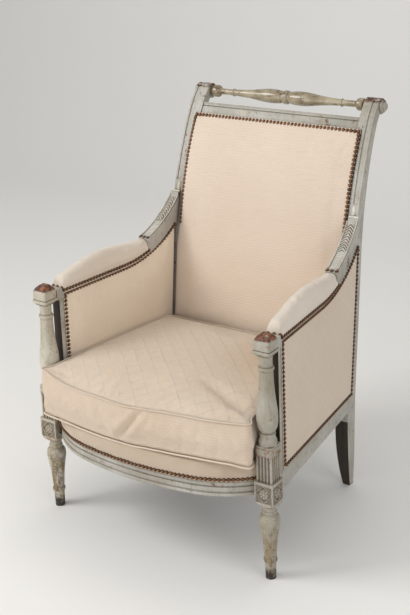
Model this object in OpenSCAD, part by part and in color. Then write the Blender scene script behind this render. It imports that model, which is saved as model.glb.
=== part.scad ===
// Bergere armchair: turned front posts, sabre rear legs that run up into scrolled back stiles,
// a bow-fronted moulded seat rail, closed upholstered sides and back, and a loose seat cushion.
// Millimetres. The chair faces -Y, +Z is up, and the origin is on the floor under its middle.

/* [Overall] */
// Distance from the middle of the chair to the axis of each front post
post_x = 300; // [288:1:320]
// Distance from the middle of the chair to the middle of each side at the rear legs
rear_x = 262; // [250:1:276]
// Distance from the front post axis back to the rear legs at seat height
seat_y = 420; // [400:1:445]
// Height of the underside of the seat rails
rail_z = 194; // [184:1:210]
// Height of the seat rails
rail_h = 56; // [52:1:66]
// How much higher the underside of the seat lies at the rear legs
rail_rise = 20; // [0:1:22]
// Clearance between upholstery and what it lies against
soft_gap = 0.3; // [0.2:0.1:0.6]

/* [Front posts] */
// Diameter of the foot on the floor
foot_d = 23; // [20:1:27]
// Largest diameter of the turned leg, at the bulb under the block
leg_bulb_d = 46; // [40:1:52]
// Height at which the turned leg meets the block
leg_h = 178; // [170:1:186]
// Width of the carved block that takes the seat rails
die_w = 46; // [42:1:52]
// Height of the carved block
die_h = 59; // [52:1:64]
// Width of the fluted block over it
flute_w = 38; // [35:1:42]
// Height of the fluted block with its cap
flute_h = 83; // [72:1:94]
// Flutes on each shown face of the block
flute_count = 4; // [3:1:4]
// Distance between the flutes
flute_pitch = 8; // [7:0.1:9.4]
// Radius of each flute
flute_r = 2.6; // [2:0.1:3]
// Depth of each flute
flute_depth = 2.3; // [1:0.1:3]
// Largest diameter of the baluster
baluster_d = 46.5; // [42:0.5:54]
// Length of the baluster between its two blocks
baluster_h = 202; // [185:1:220]
// Width of the block at the top of the post
capital_w = 42; // [38:1:48]
// Height of the block at the top of the post with its low point
capital_h = 50; // [44:1:56]

/* [Seat frame] */
// Depth of the front rail's bow in front of the post axes
bow_d = 90; // [70:1:105]
// Radius of the middle of the bow
bow_r = 750; // [650:10:900]
// Half angle of the middle of the bow
bow_angle = 11.5; // [9:0.5:14]
// Distance in front of the post axes at which the bow's front meets each post
bow_meet_d = 2.2; // [0:0.2:6]
// Thickness of the front rail
front_rail_t = 40; // [32:1:48]
// Thickness of the side and rear rails
rail_t = 28; // [24:1:32]
// Thickness of each upholstered side frame
side_t = 24; // [20:1:28]
// Distance from the post axis back to the front of the thin upright
upright_y = 34; // [31:1:40]
// Depth of the thin upright
upright_d = 26; // [22:1:30]
// Leg length of each glued corner block
corner_block_l = 62; // [45:1:75]

/* [Back] */
// Lean of the straight part of the back, in degrees
rake = 7; // [4:0.5:9]
// Height where the back starts to curve
bend_z = 560; // [540:1:580]
// Radius of the curve of the back
bend_r = 937; // [850:1:1050]
// Lean where the back starts to curl, in degrees
curl_lean = 28; // [25:0.5:30]
// Radius of the curl under the scroll
curl_r = 190; // [170:1:220]
// Lean where the curl runs into the scroll, in degrees
scroll_lean = 47; // [43:0.5:50]
// Radius of each scroll
scroll_r = 19; // [16:0.5:22]
// Depth of the stile at the seat
stile_d = 35; // [30:1:40]
// Depth of the stile under the scroll
stile_top_d = 22; // [20:1:26]
// Width of the stile at the seat
stile_w = 34; // [30:1:38]
// Width of the stile at the top
stile_top_w = 38; // [34:1:42]
// How far the stiles draw in from the seat to the top, on the outside
stile_draw = 9; // [4:1:14]
// Thickness of the two back rails
back_rail_t = 24; // [20:1:27]
// Drop from the middle of the scrolls to the top rail's upper edge
top_rail_drop = 22.6; // [21:0.2:28]
// Height of the top rail
back_rail_h = 47; // [40:1:54]
// Height of the lower back rail
low_rail_h = 46; // [38:1:54]
// Largest diameter of the turned crest spindle
spindle_d = 36; // [30:1:38]

/* [Rear legs] */
// Depth of the rear foot
rear_foot_d = 18; // [15:1:24]
// Width of the rear foot
rear_foot_w = 19; // [16:1:24]
// How far the rear foot stands behind the front of the leg at the seat
rear_foot_back = 14; // [8:1:22]

/* [Arms] */
// Height of the lower edge of the arm
arm_z = 526; // [516:1:536]
// Thickness of the arm under its pad
arm_t = 26; // [22:1:30]
// Width of the arm
arm_w = 34; // [30:1:38]
// Width of the arm where it meets the stile
arm_end_w = 25; // [22:1:30]
// Distance from the post axis to where the arm starts to sweep up
sweep_y = 255; // [240:1:270]
// Radius of the sweep on its upper, concave side
sweep_r = 289; // [275:1:300]
// Depth of the carved sweep
sweep_d = 49; // [44:1:54]

/* [Upholstery] */
// Fabric thickness
cloth_t = 1.6; // [1:0.1:2.2]
// Height of the tight seat over the floor
platform_z = 272; // [268:1:280]
// Height of fabric under the lower edge of which the front rail's moulding shows
skirt_z = 229; // [224:1:234]
// Swell of the back pad
back_swell = 16; // [8:1:20]
// Swell of the inner side pads
side_swell = 9; // [5:1:10]
// Width of the webbing straps
strap_w = 50; // [40:1:60]
// Thickness of a webbing strap
strap_t = 1.2; // [0.8:0.1:1.6]
// Distance from the post axis to the front end of the arm pads
pad_start = 42; // [36:1:48]
// Distance from the post axis to the rear end of the arm pads
pad_end = 343; // [330:1:355]
// Height of the middle of the arm pads over the arm
pad_h = 49; // [38:1:54]
// Width of the arm pads
pad_w = 42; // [36:1:44]

/* [Cushion] */
// Distance of the cushion's top front edge in front of the post axes
cushion_front_d = 96; // [80:1:105]
// How much further back the cushion's bottom front edge is in the middle
cushion_lean = 10; // [0:1:16]
// Half width of the cushion at its front corners
cushion_x = 289; // [280:1:291]
// How far the front corners lie behind the middle of the front edge
cushion_sag = 44; // [30:1:52]
// Height of the cushion between its seams
cushion_h = 102; // [80:1:115]
// Rise of the crown over the top seam
cushion_crown = 20; // [10:1:30]
// Radius of the piping
piping_r = 2.4; // [2:0.1:3.6]
// Gap between the cushion and the sides of the seat
cushion_gap = 2; // [1:0.5:4]

/* [Hidden] */
$fn = 48;

overrun = 5;
far = 2000;
paint = "#b9b4a8";
worn_paint = "#a39a86";
cloth = "#e3cdb6";
pale_cloth = "#dcd3c6";
jute = "#9a7a4c";
hair = "#5a4636";
raw_wood = "#8a6a48";

rail_top = rail_z + rail_h;
rear_rail_z = rail_z + rail_rise;
splay = atan((post_x - rear_x) / seat_y);
side_run = seat_y / cos(splay);
die_z = leg_h;
flute_z = die_z + die_h;
baluster_z = flute_z + flute_h;
capital_z = baluster_z + baluster_h;

// The back's front line, seen from the side: straight, then two arcs, then the scroll.
bend_y = seat_y + (bend_z - rail_top) * tan(rake);
bend_c = [bend_y + bend_r * cos(rake), bend_z - bend_r * sin(rake)];
curl_z = bend_c[1] + bend_r * sin(curl_lean);
curl_y = bend_c[0] - bend_r * cos(curl_lean);
curl_c = [curl_y + curl_r * cos(curl_lean), curl_z - curl_r * sin(curl_lean)];
scroll_start_z = curl_c[1] + curl_r * sin(scroll_lean);
scroll_start_y = curl_c[0] - curl_r * cos(scroll_lean);
scroll_y = scroll_start_y + scroll_r * cos(scroll_lean);
scroll_z = scroll_start_z - scroll_r * sin(scroll_lean);
back_top_z = scroll_z - top_rail_drop;

// The origin lies under the middle of the outline.
middle_y = (scroll_y + scroll_r - cushion_front_d) / 2;

function mix(a, b, t) = a + (b - a) * t;
function lean_at(z) = z <= bend_z ? rake
    : z <= curl_z ? asin((z - bend_c[1]) / bend_r) : asin((z - curl_c[1]) / curl_r);
function back_y(z) = z <= bend_z ? seat_y + (z - rail_top) * tan(rake)
    : z <= curl_z ? bend_c[0] - bend_r * cos(lean_at(z)) : curl_c[0] - curl_r * cos(lean_at(z));
function back_pt(z, depth) = [back_y(z) + depth * cos(lean_at(z)), z - depth * sin(lean_at(z))];
function stile_depth(z) = mix(stile_d, stile_top_d, max(0, (z - bend_z) / (curl_z - bend_z)));
stile_out_x = rear_x + side_t / 2 - 2 * cloth_t;
function stile_out(z) = stile_out_x - stile_draw * (z - rail_top) / (scroll_z - rail_top);
function stile_width(z) = mix(stile_w, stile_top_w, (z - rail_top) / (scroll_z - rail_top));
function stile_in(z) = stile_out(z) - stile_width(z);

// Catmull-Rom curve through a list of points, with a number of steps between each two.
function smooth(p, steps) = [for (i = [0 : len(p) - 2]) for (k = [0 : steps - 1])
        let (a = p[max(i - 1, 0)], b = p[i], c = p[i + 1], d = p[min(i + 2, len(p) - 1)], t = k / steps)
        0.5 * ((2 * b) + (c - a) * t + (2 * a - 5 * b + 4 * c - d) * t * t
            + (3 * b - a - 3 * c + d) * t * t * t),
    p[len(p) - 1]];

// Quadratic curve from a to c that leans towards b.
function bend(a, b, c, steps) = [for (k = [0 : steps]) let (t = k / steps)
    (1 - t) * (1 - t) * a + 2 * t * (1 - t) * b + t * t * c];

// Puts its children on the right side of the chair, or mirrors them to the left.
module on_side(side) {
    if (side < 0) mirror([1, 0, 0]) children();
    else children();
}

// The side frame's own axes: X out of the chair, Y back along the side, from the post axis.
module side_axes() {
    translate([post_x, 0, 0]) rotate([0, 0, splay]) children();
}

// Everything is drawn from the front post axis and moved here to its place over the origin.
module place() {
    translate([0, -middle_y, 0]) children();
}

// Extrudes a side view, drawn as Y and Z, across the chair between two X values.
module across(x0, x1) {
    translate([x0, 0, 0]) rotate([90, 0, 90]) linear_extrude(x1 - x0) children();
}

// Extrudes a front view, drawn as X and Z, through the whole depth of the chair.
module through(y0, y1) {
    translate([0, y1, 0]) rotate([90, 0, 0]) linear_extrude(y1 - y0) children();
}

module slab(x0, x1, y0, y1, z0, z1) {
    translate([x0, y0, z0]) cube([x1 - x0, y1 - y0, z1 - z0]);
}

// A block with the same moulded outline on its four faces; points are half width and height.
module four_sided(outline) {
    full = concat(outline, [for (i = [len(outline) - 1 : -1 : 0]) [-outline[i][0], outline[i][1]]]);
    reach = max([for (p = outline) p[0]]) + overrun;
    intersection() {
        through(-reach, reach) polygon(full);
        across(-reach, reach) polygon(full);
    }
}

// Front posts: turned leg, block, fluted block, baluster and capital from one piece of wood.
leg_r_shares = [[0.50, 0], [0.53, 0.16], [0.55, 0.22], [0.64, 0.232], [0.66, 0.25], [0.64, 0.268],
    [0.575, 0.28]];
shaft_r_shares = [[0.575, 0.28], [0.61, 0.36], [0.67, 0.46], [0.75, 0.56], [0.87, 0.66],
    [0.975, 0.74], [1, 0.79], [0.95, 0.835], [0.82, 0.865], [0.66, 0.88]];
neck_r_shares = [[0.66, 0.88], [0.69, 0.895], [0.70, 0.91], [0.66, 0.925], [0.62, 0.93],
    [0.62, 0.97], [0.66, 1], [0.60, 1.02]];
base_r_shares = [[0.84, -0.01], [0.84, 0], [0.86, 0.03], [0.85, 0.05], [0.76, 0.075], [0.70, 0.1],
    [0.70, 0.11], [0.75, 0.12], [0.75, 0.135], [0.64, 0.145]];
bulb_r_shares = [[0.64, 0.145], [0.76, 0.165], [0.89, 0.195], [0.97, 0.24], [1, 0.29],
    [0.99, 0.34], [0.945, 0.405], [0.87, 0.465], [0.78, 0.555], [0.70, 0.655], [0.66, 0.75],
    [0.645, 0.83]];
top_r_shares = [[0.645, 0.83], [0.70, 0.843], [0.72, 0.858], [0.70, 0.873], [0.60, 0.885],
    [0.60, 0.97], [0.64, 1], [0.64, 1.01]];
capital_shares = [[0.72, 0], [0.82, 0.06], [0.97, 0.12], [1, 0.15], [1, 0.25], [0.94, 0.27],
    [0.94, 0.62], [0.90, 0.68], [0.78, 0.79], [0.55, 0.90], [0.30, 0.97], [0.12, 1]];
flute_cap_share = 0.74;
cap_over = 1;

function scaled(shares, w, h, z0) = [for (s = shares) [s[0] * w, z0 + s[1] * h]];

module turned(outline, z0) {
    rotate_extrude() polygon(concat([[0, outline[0][1]]], outline,
        [[0, outline[len(outline) - 1][1]]]));
}

module fluted_block() {
    cap_z = flute_z + flute_h * flute_cap_share;
    end = cap_z - flute_r - cap_over;
    difference() {
        slab(-flute_w / 2, flute_w / 2, -flute_w / 2, flute_w / 2, flute_z, cap_z + cap_over);
        for (turn = [0, 90]) rotate([0, 0, turn]) for (i = [0 : flute_count - 1])
            translate([(i - (flute_count - 1) / 2) * flute_pitch,
                -flute_w / 2 - flute_r + flute_depth, 0]) {
                translate([0, 0, flute_z - overrun]) cylinder(r = flute_r, h = end - flute_z + overrun);
                translate([0, 0, end]) sphere(r = flute_r);
            }
    }
    cap_w = flute_w / 2 + cap_over;
    slab(-cap_w, cap_w, -cap_w, cap_w, cap_z, baluster_z);
}

module die_block() {
    corner_r = die_w * sqrt(2) / 2 + cap_over;
    neck_r = leg_bulb_d * 0.33;
    cut_h = die_h * 0.2;
    intersection() {
        slab(-die_w / 2, die_w / 2, -die_w / 2, die_w / 2, die_z, flute_z);
        rotate_extrude() polygon([[0, die_z], [neck_r, die_z], [mix(neck_r, corner_r, 0.7), die_z + cut_h / 2],
            [corner_r, die_z + cut_h * 1.6], [corner_r, flute_z], [0, flute_z]]);
    }
}

module post_shape() {
    leg_r = leg_bulb_d / 2;
    bal_r = baluster_d / 2;
    turned(concat([[foot_d / 2, 0]], scaled(leg_r_shares, leg_r, leg_h, 0),
        smooth(scaled(shaft_r_shares, leg_r, leg_h, 0), 4),
        scaled(neck_r_shares, leg_r, leg_h, 0)));
    die_block();
    fluted_block();
    turned(concat(scaled(base_r_shares, bal_r, baluster_h, baluster_z),
        smooth(scaled(bulb_r_shares, bal_r, baluster_h, baluster_z), 4),
        scaled(top_r_shares, bal_r, baluster_h, baluster_z)));
    four_sided(scaled(capital_shares, capital_w / 2, capital_h, capital_z));
}

// Tenons of the rails, drawn once for the rail and once as the mortise that takes them.
tenon_t = 10;
tenon_l = 16;
tenon_shoulder = 8;
module side_rail_tenon_front() {
    slab(-tenon_t / 2, tenon_t / 2, die_w / 2 - tenon_l, die_w / 2 + overrun,
        rail_z + tenon_shoulder, flute_z - tenon_shoulder);
}

module side_rail_tenon_rear() {
    slab(-tenon_t / 2, tenon_t / 2, side_run - 2 * overrun, side_run + tenon_l,
        rear_rail_z + tenon_shoulder / 2, rail_top - tenon_shoulder);
}

module front_rail_tenon() {
    slab(post_x - die_w / 2 - overrun, post_x - die_w / 2 + tenon_l * 0.8, tenon_shoulder * 0.5,
        tenon_shoulder * 0.5 + tenon_t, rail_z + tenon_shoulder, flute_z - tenon_shoulder);
}

module rear_rail_tenon() {
    slab(stile_in(rail_top) - overrun, stile_in(rail_top) + tenon_l * 0.8,
        seat_y + tenon_l + cap_over, seat_y + tenon_l + cap_over + tenon_t,
        rear_rail_z + tenon_shoulder / 2, rail_top - tenon_shoulder);
}

module front_post(side) {
    color(paint) place() on_side(side) difference() {
        translate([post_x, 0, 0]) post_shape();
        side_axes() side_rail_tenon_front();
        front_rail_tenon();
    }
}

// Back stiles: sabre leg, raked stile, curl and scroll sawn from one plank.
stile_steps = 14;
leg_steps = 10;
leg_front_pull = 16;
leg_rear_pull = 8;
leg_top_z = rail_top + leg_rear_pull;
scroll_proud = 0.4;
channel_w = 11.5;
channel_depth = 2.4;
bead_w = 4.5;
module stile_side_view() {
    foot_y = seat_y + rear_foot_back;
    seat_front = back_pt(leg_top_z, 0);
    seat_rear = back_pt(leg_top_z, stile_d);
    half = leg_top_z / 2;
    front_leg = bend([foot_y, 0], [seat_y - leg_front_pull, half], seat_front, leg_steps);
    rear_leg = bend([foot_y + rear_foot_d, 0], [seat_rear[0] - leg_rear_pull, half], seat_rear, leg_steps);
    heights = concat([for (i = [1 : 4]) mix(leg_top_z, bend_z, i / 4)],
        [for (i = [1 : stile_steps]) mix(bend_z, curl_z, i / stile_steps)],
        [for (i = [1 : 8]) mix(curl_z, scroll_start_z, i / 8)]);
    polygon(concat(front_leg, [for (z = heights) back_pt(z, 0)],
        [for (i = [len(heights) - 1 : -1 : 0]) back_pt(heights[i], stile_depth(min(heights[i], curl_z)))],
        [for (i = [leg_steps : -1 : 0]) rear_leg[i]]));
}

module stile_front_view() {
    top = scroll_z + scroll_r + overrun;
    taper_z = rail_top * 0.6;
    foot_out = stile_out(rail_top) - (stile_w - rear_foot_w) / 3;
    out = concat(bend([foot_out, 0], [stile_out(rail_top), taper_z / 2], [stile_out(rail_top), taper_z], 6),
        [[stile_out(rail_top), rail_top], [stile_out(top), top]]);
    in = concat(bend([foot_out - rear_foot_w, 0], [stile_in(rail_top), taper_z / 2],
        [stile_in(rail_top), taper_z], 6), [[stile_in(rail_top), rail_top], [stile_in(top), top]]);
    polygon(concat(in, [for (i = [len(out) - 1 : -1 : 0]) out[i]]));
}

// A strip of the stile's front, between two X values at the bottom and two at the top, to a depth.
module front_strip(x0, x1, top_x0, top_x1, z0, z1, depth) {
    steps = 16;
    zs = [for (i = [0 : steps]) mix(z0, z1, i / steps)];
    intersection() {
        through(0, seat_y + far) polygon([[x0, z0], [x1, z0], [top_x1, z1], [top_x0, z1]]);
        across(0, post_x) polygon(concat([for (z = zs) back_pt(z, -overrun)],
            [for (i = [steps : -1 : 0]) back_pt(zs[i], depth)]));
    }
}

// A channel runs up the front of the stile from over the arm into the scroll.
channel_z = arm_z + (back_top_z - arm_z) * 0.49;
module stile_channel() {
    x0 = stile_out(channel_z) - bead_w;
    x1 = stile_out(scroll_start_z) - bead_w;
    front_strip(x0 - channel_w, x0, x1 - channel_w, x1, channel_z, scroll_start_z, channel_depth);
}

// The rebate that takes the edge of the back's upholstery.
module stile_rebate() {
    front_strip(0, back_edge_x + soft_gap, 0, back_edge_x + soft_gap, back_pad_low - soft_gap,
        back_pad_top + soft_gap, rebate);
}

scroll_out_x = stile_out(scroll_z - scroll_r);
module stile_shape() {
    intersection() {
        across(0, post_x) stile_side_view();
        through(0, seat_y + far) stile_front_view();
    }
    translate([stile_in(scroll_z), scroll_y, scroll_z]) rotate([0, 90, 0])
        cylinder(r = scroll_r + scroll_proud, h = scroll_out_x - stile_in(scroll_z));
}

module back_stile(side) {
    color(paint) place() on_side(side) difference() {
        stile_shape();
        stile_channel();
        stile_rebate();
        side_axes() side_rail_tenon_rear();
        rear_rail_tenon();
        back_rail_tenon(back_top_z - back_rail_h * 0.8, back_top_z - back_rail_h * 0.2);
        back_rail_tenon(platform_z + low_rail_h * 0.2, platform_z + low_rail_h * 0.8);
        arm_tenon();
    }
}

module back_rail_tenon(z0, z1) {
    d0 = back_rail_t * 0.3;
    d1 = back_rail_t * 0.7;
    across(stile_in(z0) - overrun, stile_in(z0) + tenon_l)
        polygon([back_pt(z0, d0), back_pt(z1, d0), back_pt(z1, d1), back_pt(z0, d1)]);
}

// Seat rails. The bow is three arcs that run into each other; children are the rail's section,
// drawn as distance in from the front face and height.
bow_c_y = bow_r - bow_d;
bow_run = [post_x - die_w / 2 - bow_r * sin(bow_angle), bow_r * cos(bow_angle) - bow_c_y - bow_meet_d];
bow_end_r = (bow_run * bow_run) / 2 / (bow_run[1] * cos(bow_angle) - bow_run[0] * sin(bow_angle));
bow_end_c = [(bow_r - bow_end_r) * sin(bow_angle), bow_c_y - (bow_r - bow_end_r) * cos(bow_angle)];
bow_end_angle = 66;
module bow_arc(r, from, to) {
    rotate([0, 0, from]) rotate_extrude(angle = to - from, $fn = 96)
        translate([r, 0]) mirror([1, 0]) children();
}

module bow_sweep() {
    translate([0, bow_c_y, 0]) bow_arc(bow_r, 270 - bow_angle, 270 + bow_angle) children();
    for (side = [-1, 1]) on_side(side) translate([bow_end_c[0], bow_end_c[1], 0])
        bow_arc(bow_end_r, 270 + bow_angle, 270 + bow_end_angle) children();
}

// Points of the bow, a distance in from its front, from the left end to the right.
function bow_half(inset) = concat(
    [for (i = [0 : 5]) let (a = bow_angle * i / 6)
        [(bow_r - inset) * sin(a), bow_c_y - (bow_r - inset) * cos(a)]],
    [for (i = [0 : 9]) let (a = mix(bow_angle, bow_end_angle, i / 9))
        [bow_end_c[0] + (bow_end_r - inset) * sin(a), bow_end_c[1] - (bow_end_r - inset) * cos(a)]]);
function bow_line(inset) = let (h = bow_half(inset))
    concat([for (i = [len(h) - 1 : -1 : 1]) [-h[i][0], h[i][1]]], h);

rail_groove = 2.6;
rail_step = 1;
module front_rail_section() {
    bead_top = rail_z + (skirt_z - rail_z) * 0.26;
    band_top = rail_z + (skirt_z - rail_z) * 0.66;
    polygon([[front_rail_t, rail_z], [rail_groove, rail_z], [0, rail_z + rail_groove],
        [0, bead_top - rail_groove], [rail_step, bead_top - rail_step],
        [rail_groove + rail_step, bead_top], [rail_groove + rail_step, bead_top + rail_groove],
        [rail_step, bead_top + rail_groove + rail_step], [rail_step, band_top - rail_step],
        [rail_groove + rail_step, band_top], [rail_groove + rail_step, band_top + rail_groove],
        [rail_step / 2, band_top + rail_groove + rail_step], [rail_step / 2, skirt_z - rail_step],
        [cloth_t + rail_step / 2, skirt_z], [cloth_t + rail_step / 2, rail_top - 2 * rail_groove],
        [cloth_t + 2 * rail_groove, rail_top], [front_rail_t, rail_top]]);
}

module front_rail_shape() {
    inner_x = post_x - die_w / 2;
    intersection() {
        bow_sweep() front_rail_section();
        slab(-inner_x, inner_x, -bow_d - overrun, die_w / 2 - rail_groove, 0, far);
    }
}

module front_seat_rail() {
    color(paint) place() {
        front_rail_shape();
        for (side = [-1, 1]) on_side(side) difference() {
            front_rail_tenon();
            slab(0, post_x - die_w / 2 - cap_over, -far, far, 0, far);
        }
    }
}

// The underside of the seat climbs towards the rear legs, and so does the side covers' lower edge.
side_skirt_z = skirt_z + tenon_t;
side_skirt_rise = rail_rise * 0.45;
under_slope = rail_rise / (seat_y - die_w / 2);
module under_cut() {
    across(-far, far) polygon([[die_w / 2, 0], [die_w / 2, rail_z],
        [seat_y + rail_h, rail_z + under_slope * (seat_y + rail_h - die_w / 2)], [seat_y + rail_h, 0]]);
}

// A side rail runs between the post and the stile, cut to both.
module side_rail_shape() {
    difference() {
        side_axes() through(die_w / 2 - tenon_l, side_run + tenon_l) polygon([[-rail_t / 2, rail_z],
            [side_t / 2 + cloth_t, rail_z], [side_t / 2 + cloth_t, side_skirt_z + side_skirt_rise],
            [side_t / 2, side_skirt_z + side_skirt_rise], [side_t / 2, rail_top], [-rail_t / 2, rail_top]]);
        side_axes() across(side_t / 2, far) polygon([[0, side_skirt_z],
            [side_run, side_skirt_z + side_skirt_rise], [far, side_skirt_z + side_skirt_rise],
            [far, rail_top + overrun], [0, rail_top + overrun]]);
        under_cut();
        difference() {
            translate([post_x, 0, 0]) {
                slab(-die_w, die_w, -die_w, die_w / 2, 0, flute_z);
                slab(-die_w, die_w, -die_w, flute_w / 2, 0, far);
            }
            side_axes() side_rail_tenon_front();
        }
        difference() {
            stile_notch();
            side_axes() side_rail_tenon_rear();
        }
        side_axes() upright_tenons();
    }
}

// The space behind the front of the stile and the leg, where what meets them is cut away.
module stile_notch() {
    across(0, post_x + die_w) polygon(concat(
        bend([seat_y + rear_foot_back, 0], [seat_y - leg_front_pull, leg_top_z / 2],
            back_pt(leg_top_z, 0), leg_steps),
        [for (i = [1 : 4]) back_pt(mix(leg_top_z, bend_z, i / 4), 0)],
        [for (i = [1 : stile_steps]) back_pt(mix(bend_z, curl_z, i / stile_steps), 0)],
        [[seat_y + far, curl_z], [seat_y + far, 0]]));
}

module side_seat_rail(side) {
    color(paint) place() on_side(side) side_rail_shape();
}

module rear_seat_rail() {
    y0 = seat_y + tenon_l - cap_over - tenon_t / 2;
    color(paint) place() {
        slab(-stile_in(rail_top), stile_in(rail_top), y0, y0 + rail_t, rear_rail_z, rail_top);
        for (side = [-1, 1]) on_side(side) rear_rail_tenon();
    }
}

// Uprights and arms.
upright_w = side_t;
stub = 12;
function sweep_low(y) = y <= sweep_y ? arm_z
    : arm_c[1] - sqrt(pow(sweep_r + sweep_d, 2) - pow(y - sweep_y, 2));
arm_c = [sweep_y, arm_z + sweep_r + sweep_d];
pad_base_r = sweep_r + sweep_d - arm_t;

module upright_shape() {
    slab(-upright_w / 2, upright_w / 2, upright_y, upright_y + upright_d, rail_top, arm_z);
}

module upright_tenons() {
    slab(-tenon_t / 2, tenon_t / 2, upright_y + tenon_shoulder, upright_y + upright_d - tenon_shoulder,
        rail_top - stub, arm_z + stub);
}

module panel_upright(side) {
    color(worn_paint) place() on_side(side) side_axes() {
        upright_shape();
        upright_tenons();
    }
}

module arm_side_view() {
    rise_end = 46;
    outer = sweep_r + sweep_d;
    shoulder = asin((pad_end + 2 * soft_gap - sweep_y) / pad_base_r);
    shoulder_top = asin((pad_end + 2 * soft_gap - sweep_y) / sweep_r);
    polygon(concat([[0, arm_z]],
        [for (i = [0 : 10]) let (a = rise_end * i / 10)
            [arm_c[0] + outer * sin(a), arm_c[1] - outer * cos(a)]],
        [[arm_c[0] + outer, arm_c[1] - outer * cos(rise_end)], [arm_c[0] + outer, arm_c[1]]],
        [for (i = [10 : -1 : 0]) let (a = mix(shoulder_top, rise_end, i / 10))
            [arm_c[0] + sweep_r * sin(a), arm_c[1] - sweep_r * cos(a)]],
        [for (i = [5 : -1 : 0]) let (a = shoulder * i / 5)
            [arm_c[0] + pad_base_r * sin(a), arm_c[1] - pad_base_r * cos(a)]],
        [[0, arm_z + arm_t]]));
}

module arm_plan() {
    polygon([[-arm_w / 2, 0], [arm_w / 2 - cloth_t, 0], [arm_w / 2 - cloth_t, sweep_y],
        [arm_end_w / 2, side_run + stile_d * 1.5], [-arm_end_w / 2, side_run + stile_d * 1.5],
        [-arm_w / 2, pad_end]]);
}

module arm_tenon() {
    z = sweep_low(side_run + 1.2 * stile_d) + tenon_shoulder / 2;
    side_axes() slab(-tenon_t / 2, tenon_t / 2, side_run, back_y(z) + tenon_l, z, z + sweep_d * 0.6);
}

module arm_shape() {
    difference() {
        side_axes() intersection() {
            across(-arm_w, arm_w) arm_side_view();
            linear_extrude(far) arm_plan();
        }
        translate([post_x, 0, 0]) slab(-die_w, die_w, -die_w, capital_w / 2, 0, far);
        difference() {
            stile_notch();
            arm_tenon();
        }
        side_axes() {
            upright_tenons();
            arm_rebate(-arm_w, -side_t / 2);
            arm_rebate(side_t / 2, arm_w);
        }
    }
}

// The rebate along the arm's lower edge that takes the edge of the side upholstery.
module arm_rebate(x0, x1) {
    y0 = upright_y + upright_d / 2 - soft_gap;
    y1 = side_run + 2 * stile_d;
    ys = [for (i = [0 : 12]) mix(sweep_y, y1, i / 12)];
    top = cover_lap + 4 * soft_gap;
    across(x0, x1) polygon(concat([[y1, 0], [y0, 0], [y0, arm_z + top]],
        [for (y = ys) [y, sweep_low(y) + top]]));
}

module arm(side) {
    color(paint) place() on_side(side) arm_shape();
}

// Back rails, crest spindle and the buttons on the scrolls.
module back_rail(z0, z1, steps) {
    x = stile_in(z1);
    zs = [for (i = [0 : steps]) mix(z0, z1, i / steps)];
    across(-x, x) polygon(concat([for (z = zs) back_pt(z, rebate)],
        [for (i = [steps : -1 : 0]) back_pt(zs[i], back_rail_t)]));
}

rail_bead_r = 2.2;
module back_top_rail() {
    z0 = back_top_z - back_rail_h;
    x = stile_in(back_top_z);
    color(paint) place() {
        difference() {
            back_rail(z0, back_top_z, 6);
            across(-x - overrun, x + overrun) polygon([back_pt(back_top_z - 3.4 * rail_bead_r, 0),
                back_pt(back_top_z - 3.4 * rail_bead_r, rebate + rail_bead_r),
                back_pt(back_top_z - 2.4 * rail_bead_r, rebate + rail_bead_r),
                back_pt(back_top_z - 2.4 * rail_bead_r, 0)]);
        }
        for (side = [-1, 1]) on_side(side) difference() {
            back_rail_tenon(back_top_z - back_rail_h * 0.8, back_top_z - back_rail_h * 0.2);
            slab(0, x - cap_over, 0, far, 0, far);
        }
        across(-x, x) translate(back_pt(back_top_z, rebate + rail_bead_r / 2)) circle(r = rail_bead_r);
    }
}

module back_lower_rail() {
    x = stile_in(platform_z + low_rail_h);
    color(paint) place() {
        back_rail(platform_z, platform_z + low_rail_h, 2);
        for (side = [-1, 1]) on_side(side) difference() {
            back_rail_tenon(platform_z + low_rail_h * 0.2, platform_z + low_rail_h * 0.8);
            slab(0, x - cap_over, 0, far, 0, far);
        }
    }
}

// Half of the spindle from its middle ring to its end, as radius and distance shares.
spindle_shares = [[0.97, 0], [0.98, 0.012], [0.94, 0.026], [0.80, 0.036], [0.76, 0.044],
    [0.80, 0.053], [0.87, 0.065], [0.94, 0.10], [0.99, 0.15], [1, 0.20], [0.965, 0.26],
    [0.86, 0.33], [0.74, 0.40], [0.63, 0.47], [0.54, 0.56], [0.48, 0.64], [0.46, 0.68]];
spindle_ring_shares = [[0.46, 0.68], [0.53, 0.685], [0.56, 0.695], [0.53, 0.705], [0.45, 0.71]];
spindle_end_shares = [[0.45, 0.71], [0.43, 0.84], [0.50, 0.875], [0.66, 0.885], [0.84, 0.90],
    [0.88, 0.93], [0.84, 0.96], [0.66, 0.975], [0.62, 1]];
module crest_spindle() {
    half = stile_in(scroll_z) - soft_gap;
    r = spindle_d / 2;
    line = concat(smooth(scaled(spindle_shares, r, half, 0), 3),
        scaled(spindle_ring_shares, r, half, 0), scaled(spindle_end_shares, r, half, 0));
    color("#9c8d6d") place() translate([0, scroll_y, scroll_z]) rotate([0, 90, 0])
        for (end = [0, 1]) mirror([0, 0, end]) turned(line, 0);
}

button_shares = [[0.98, 0], [1, 0.12], [0.98, 0.34], [0.90, 0.42], [0.74, 0.46], [0.66, 0.52],
    [0.64, 0.66], [0.55, 0.84], [0.38, 0.96], [0.16, 1]];
button_h = 13;
module scroll_button(side) {
    color(paint) place() on_side(side) translate([scroll_out_x, scroll_y, scroll_z]) rotate([0, 90, 0])
        turned(smooth(scaled(button_shares, scroll_r * 0.86, button_h, 0), 2), 0);
}

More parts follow.
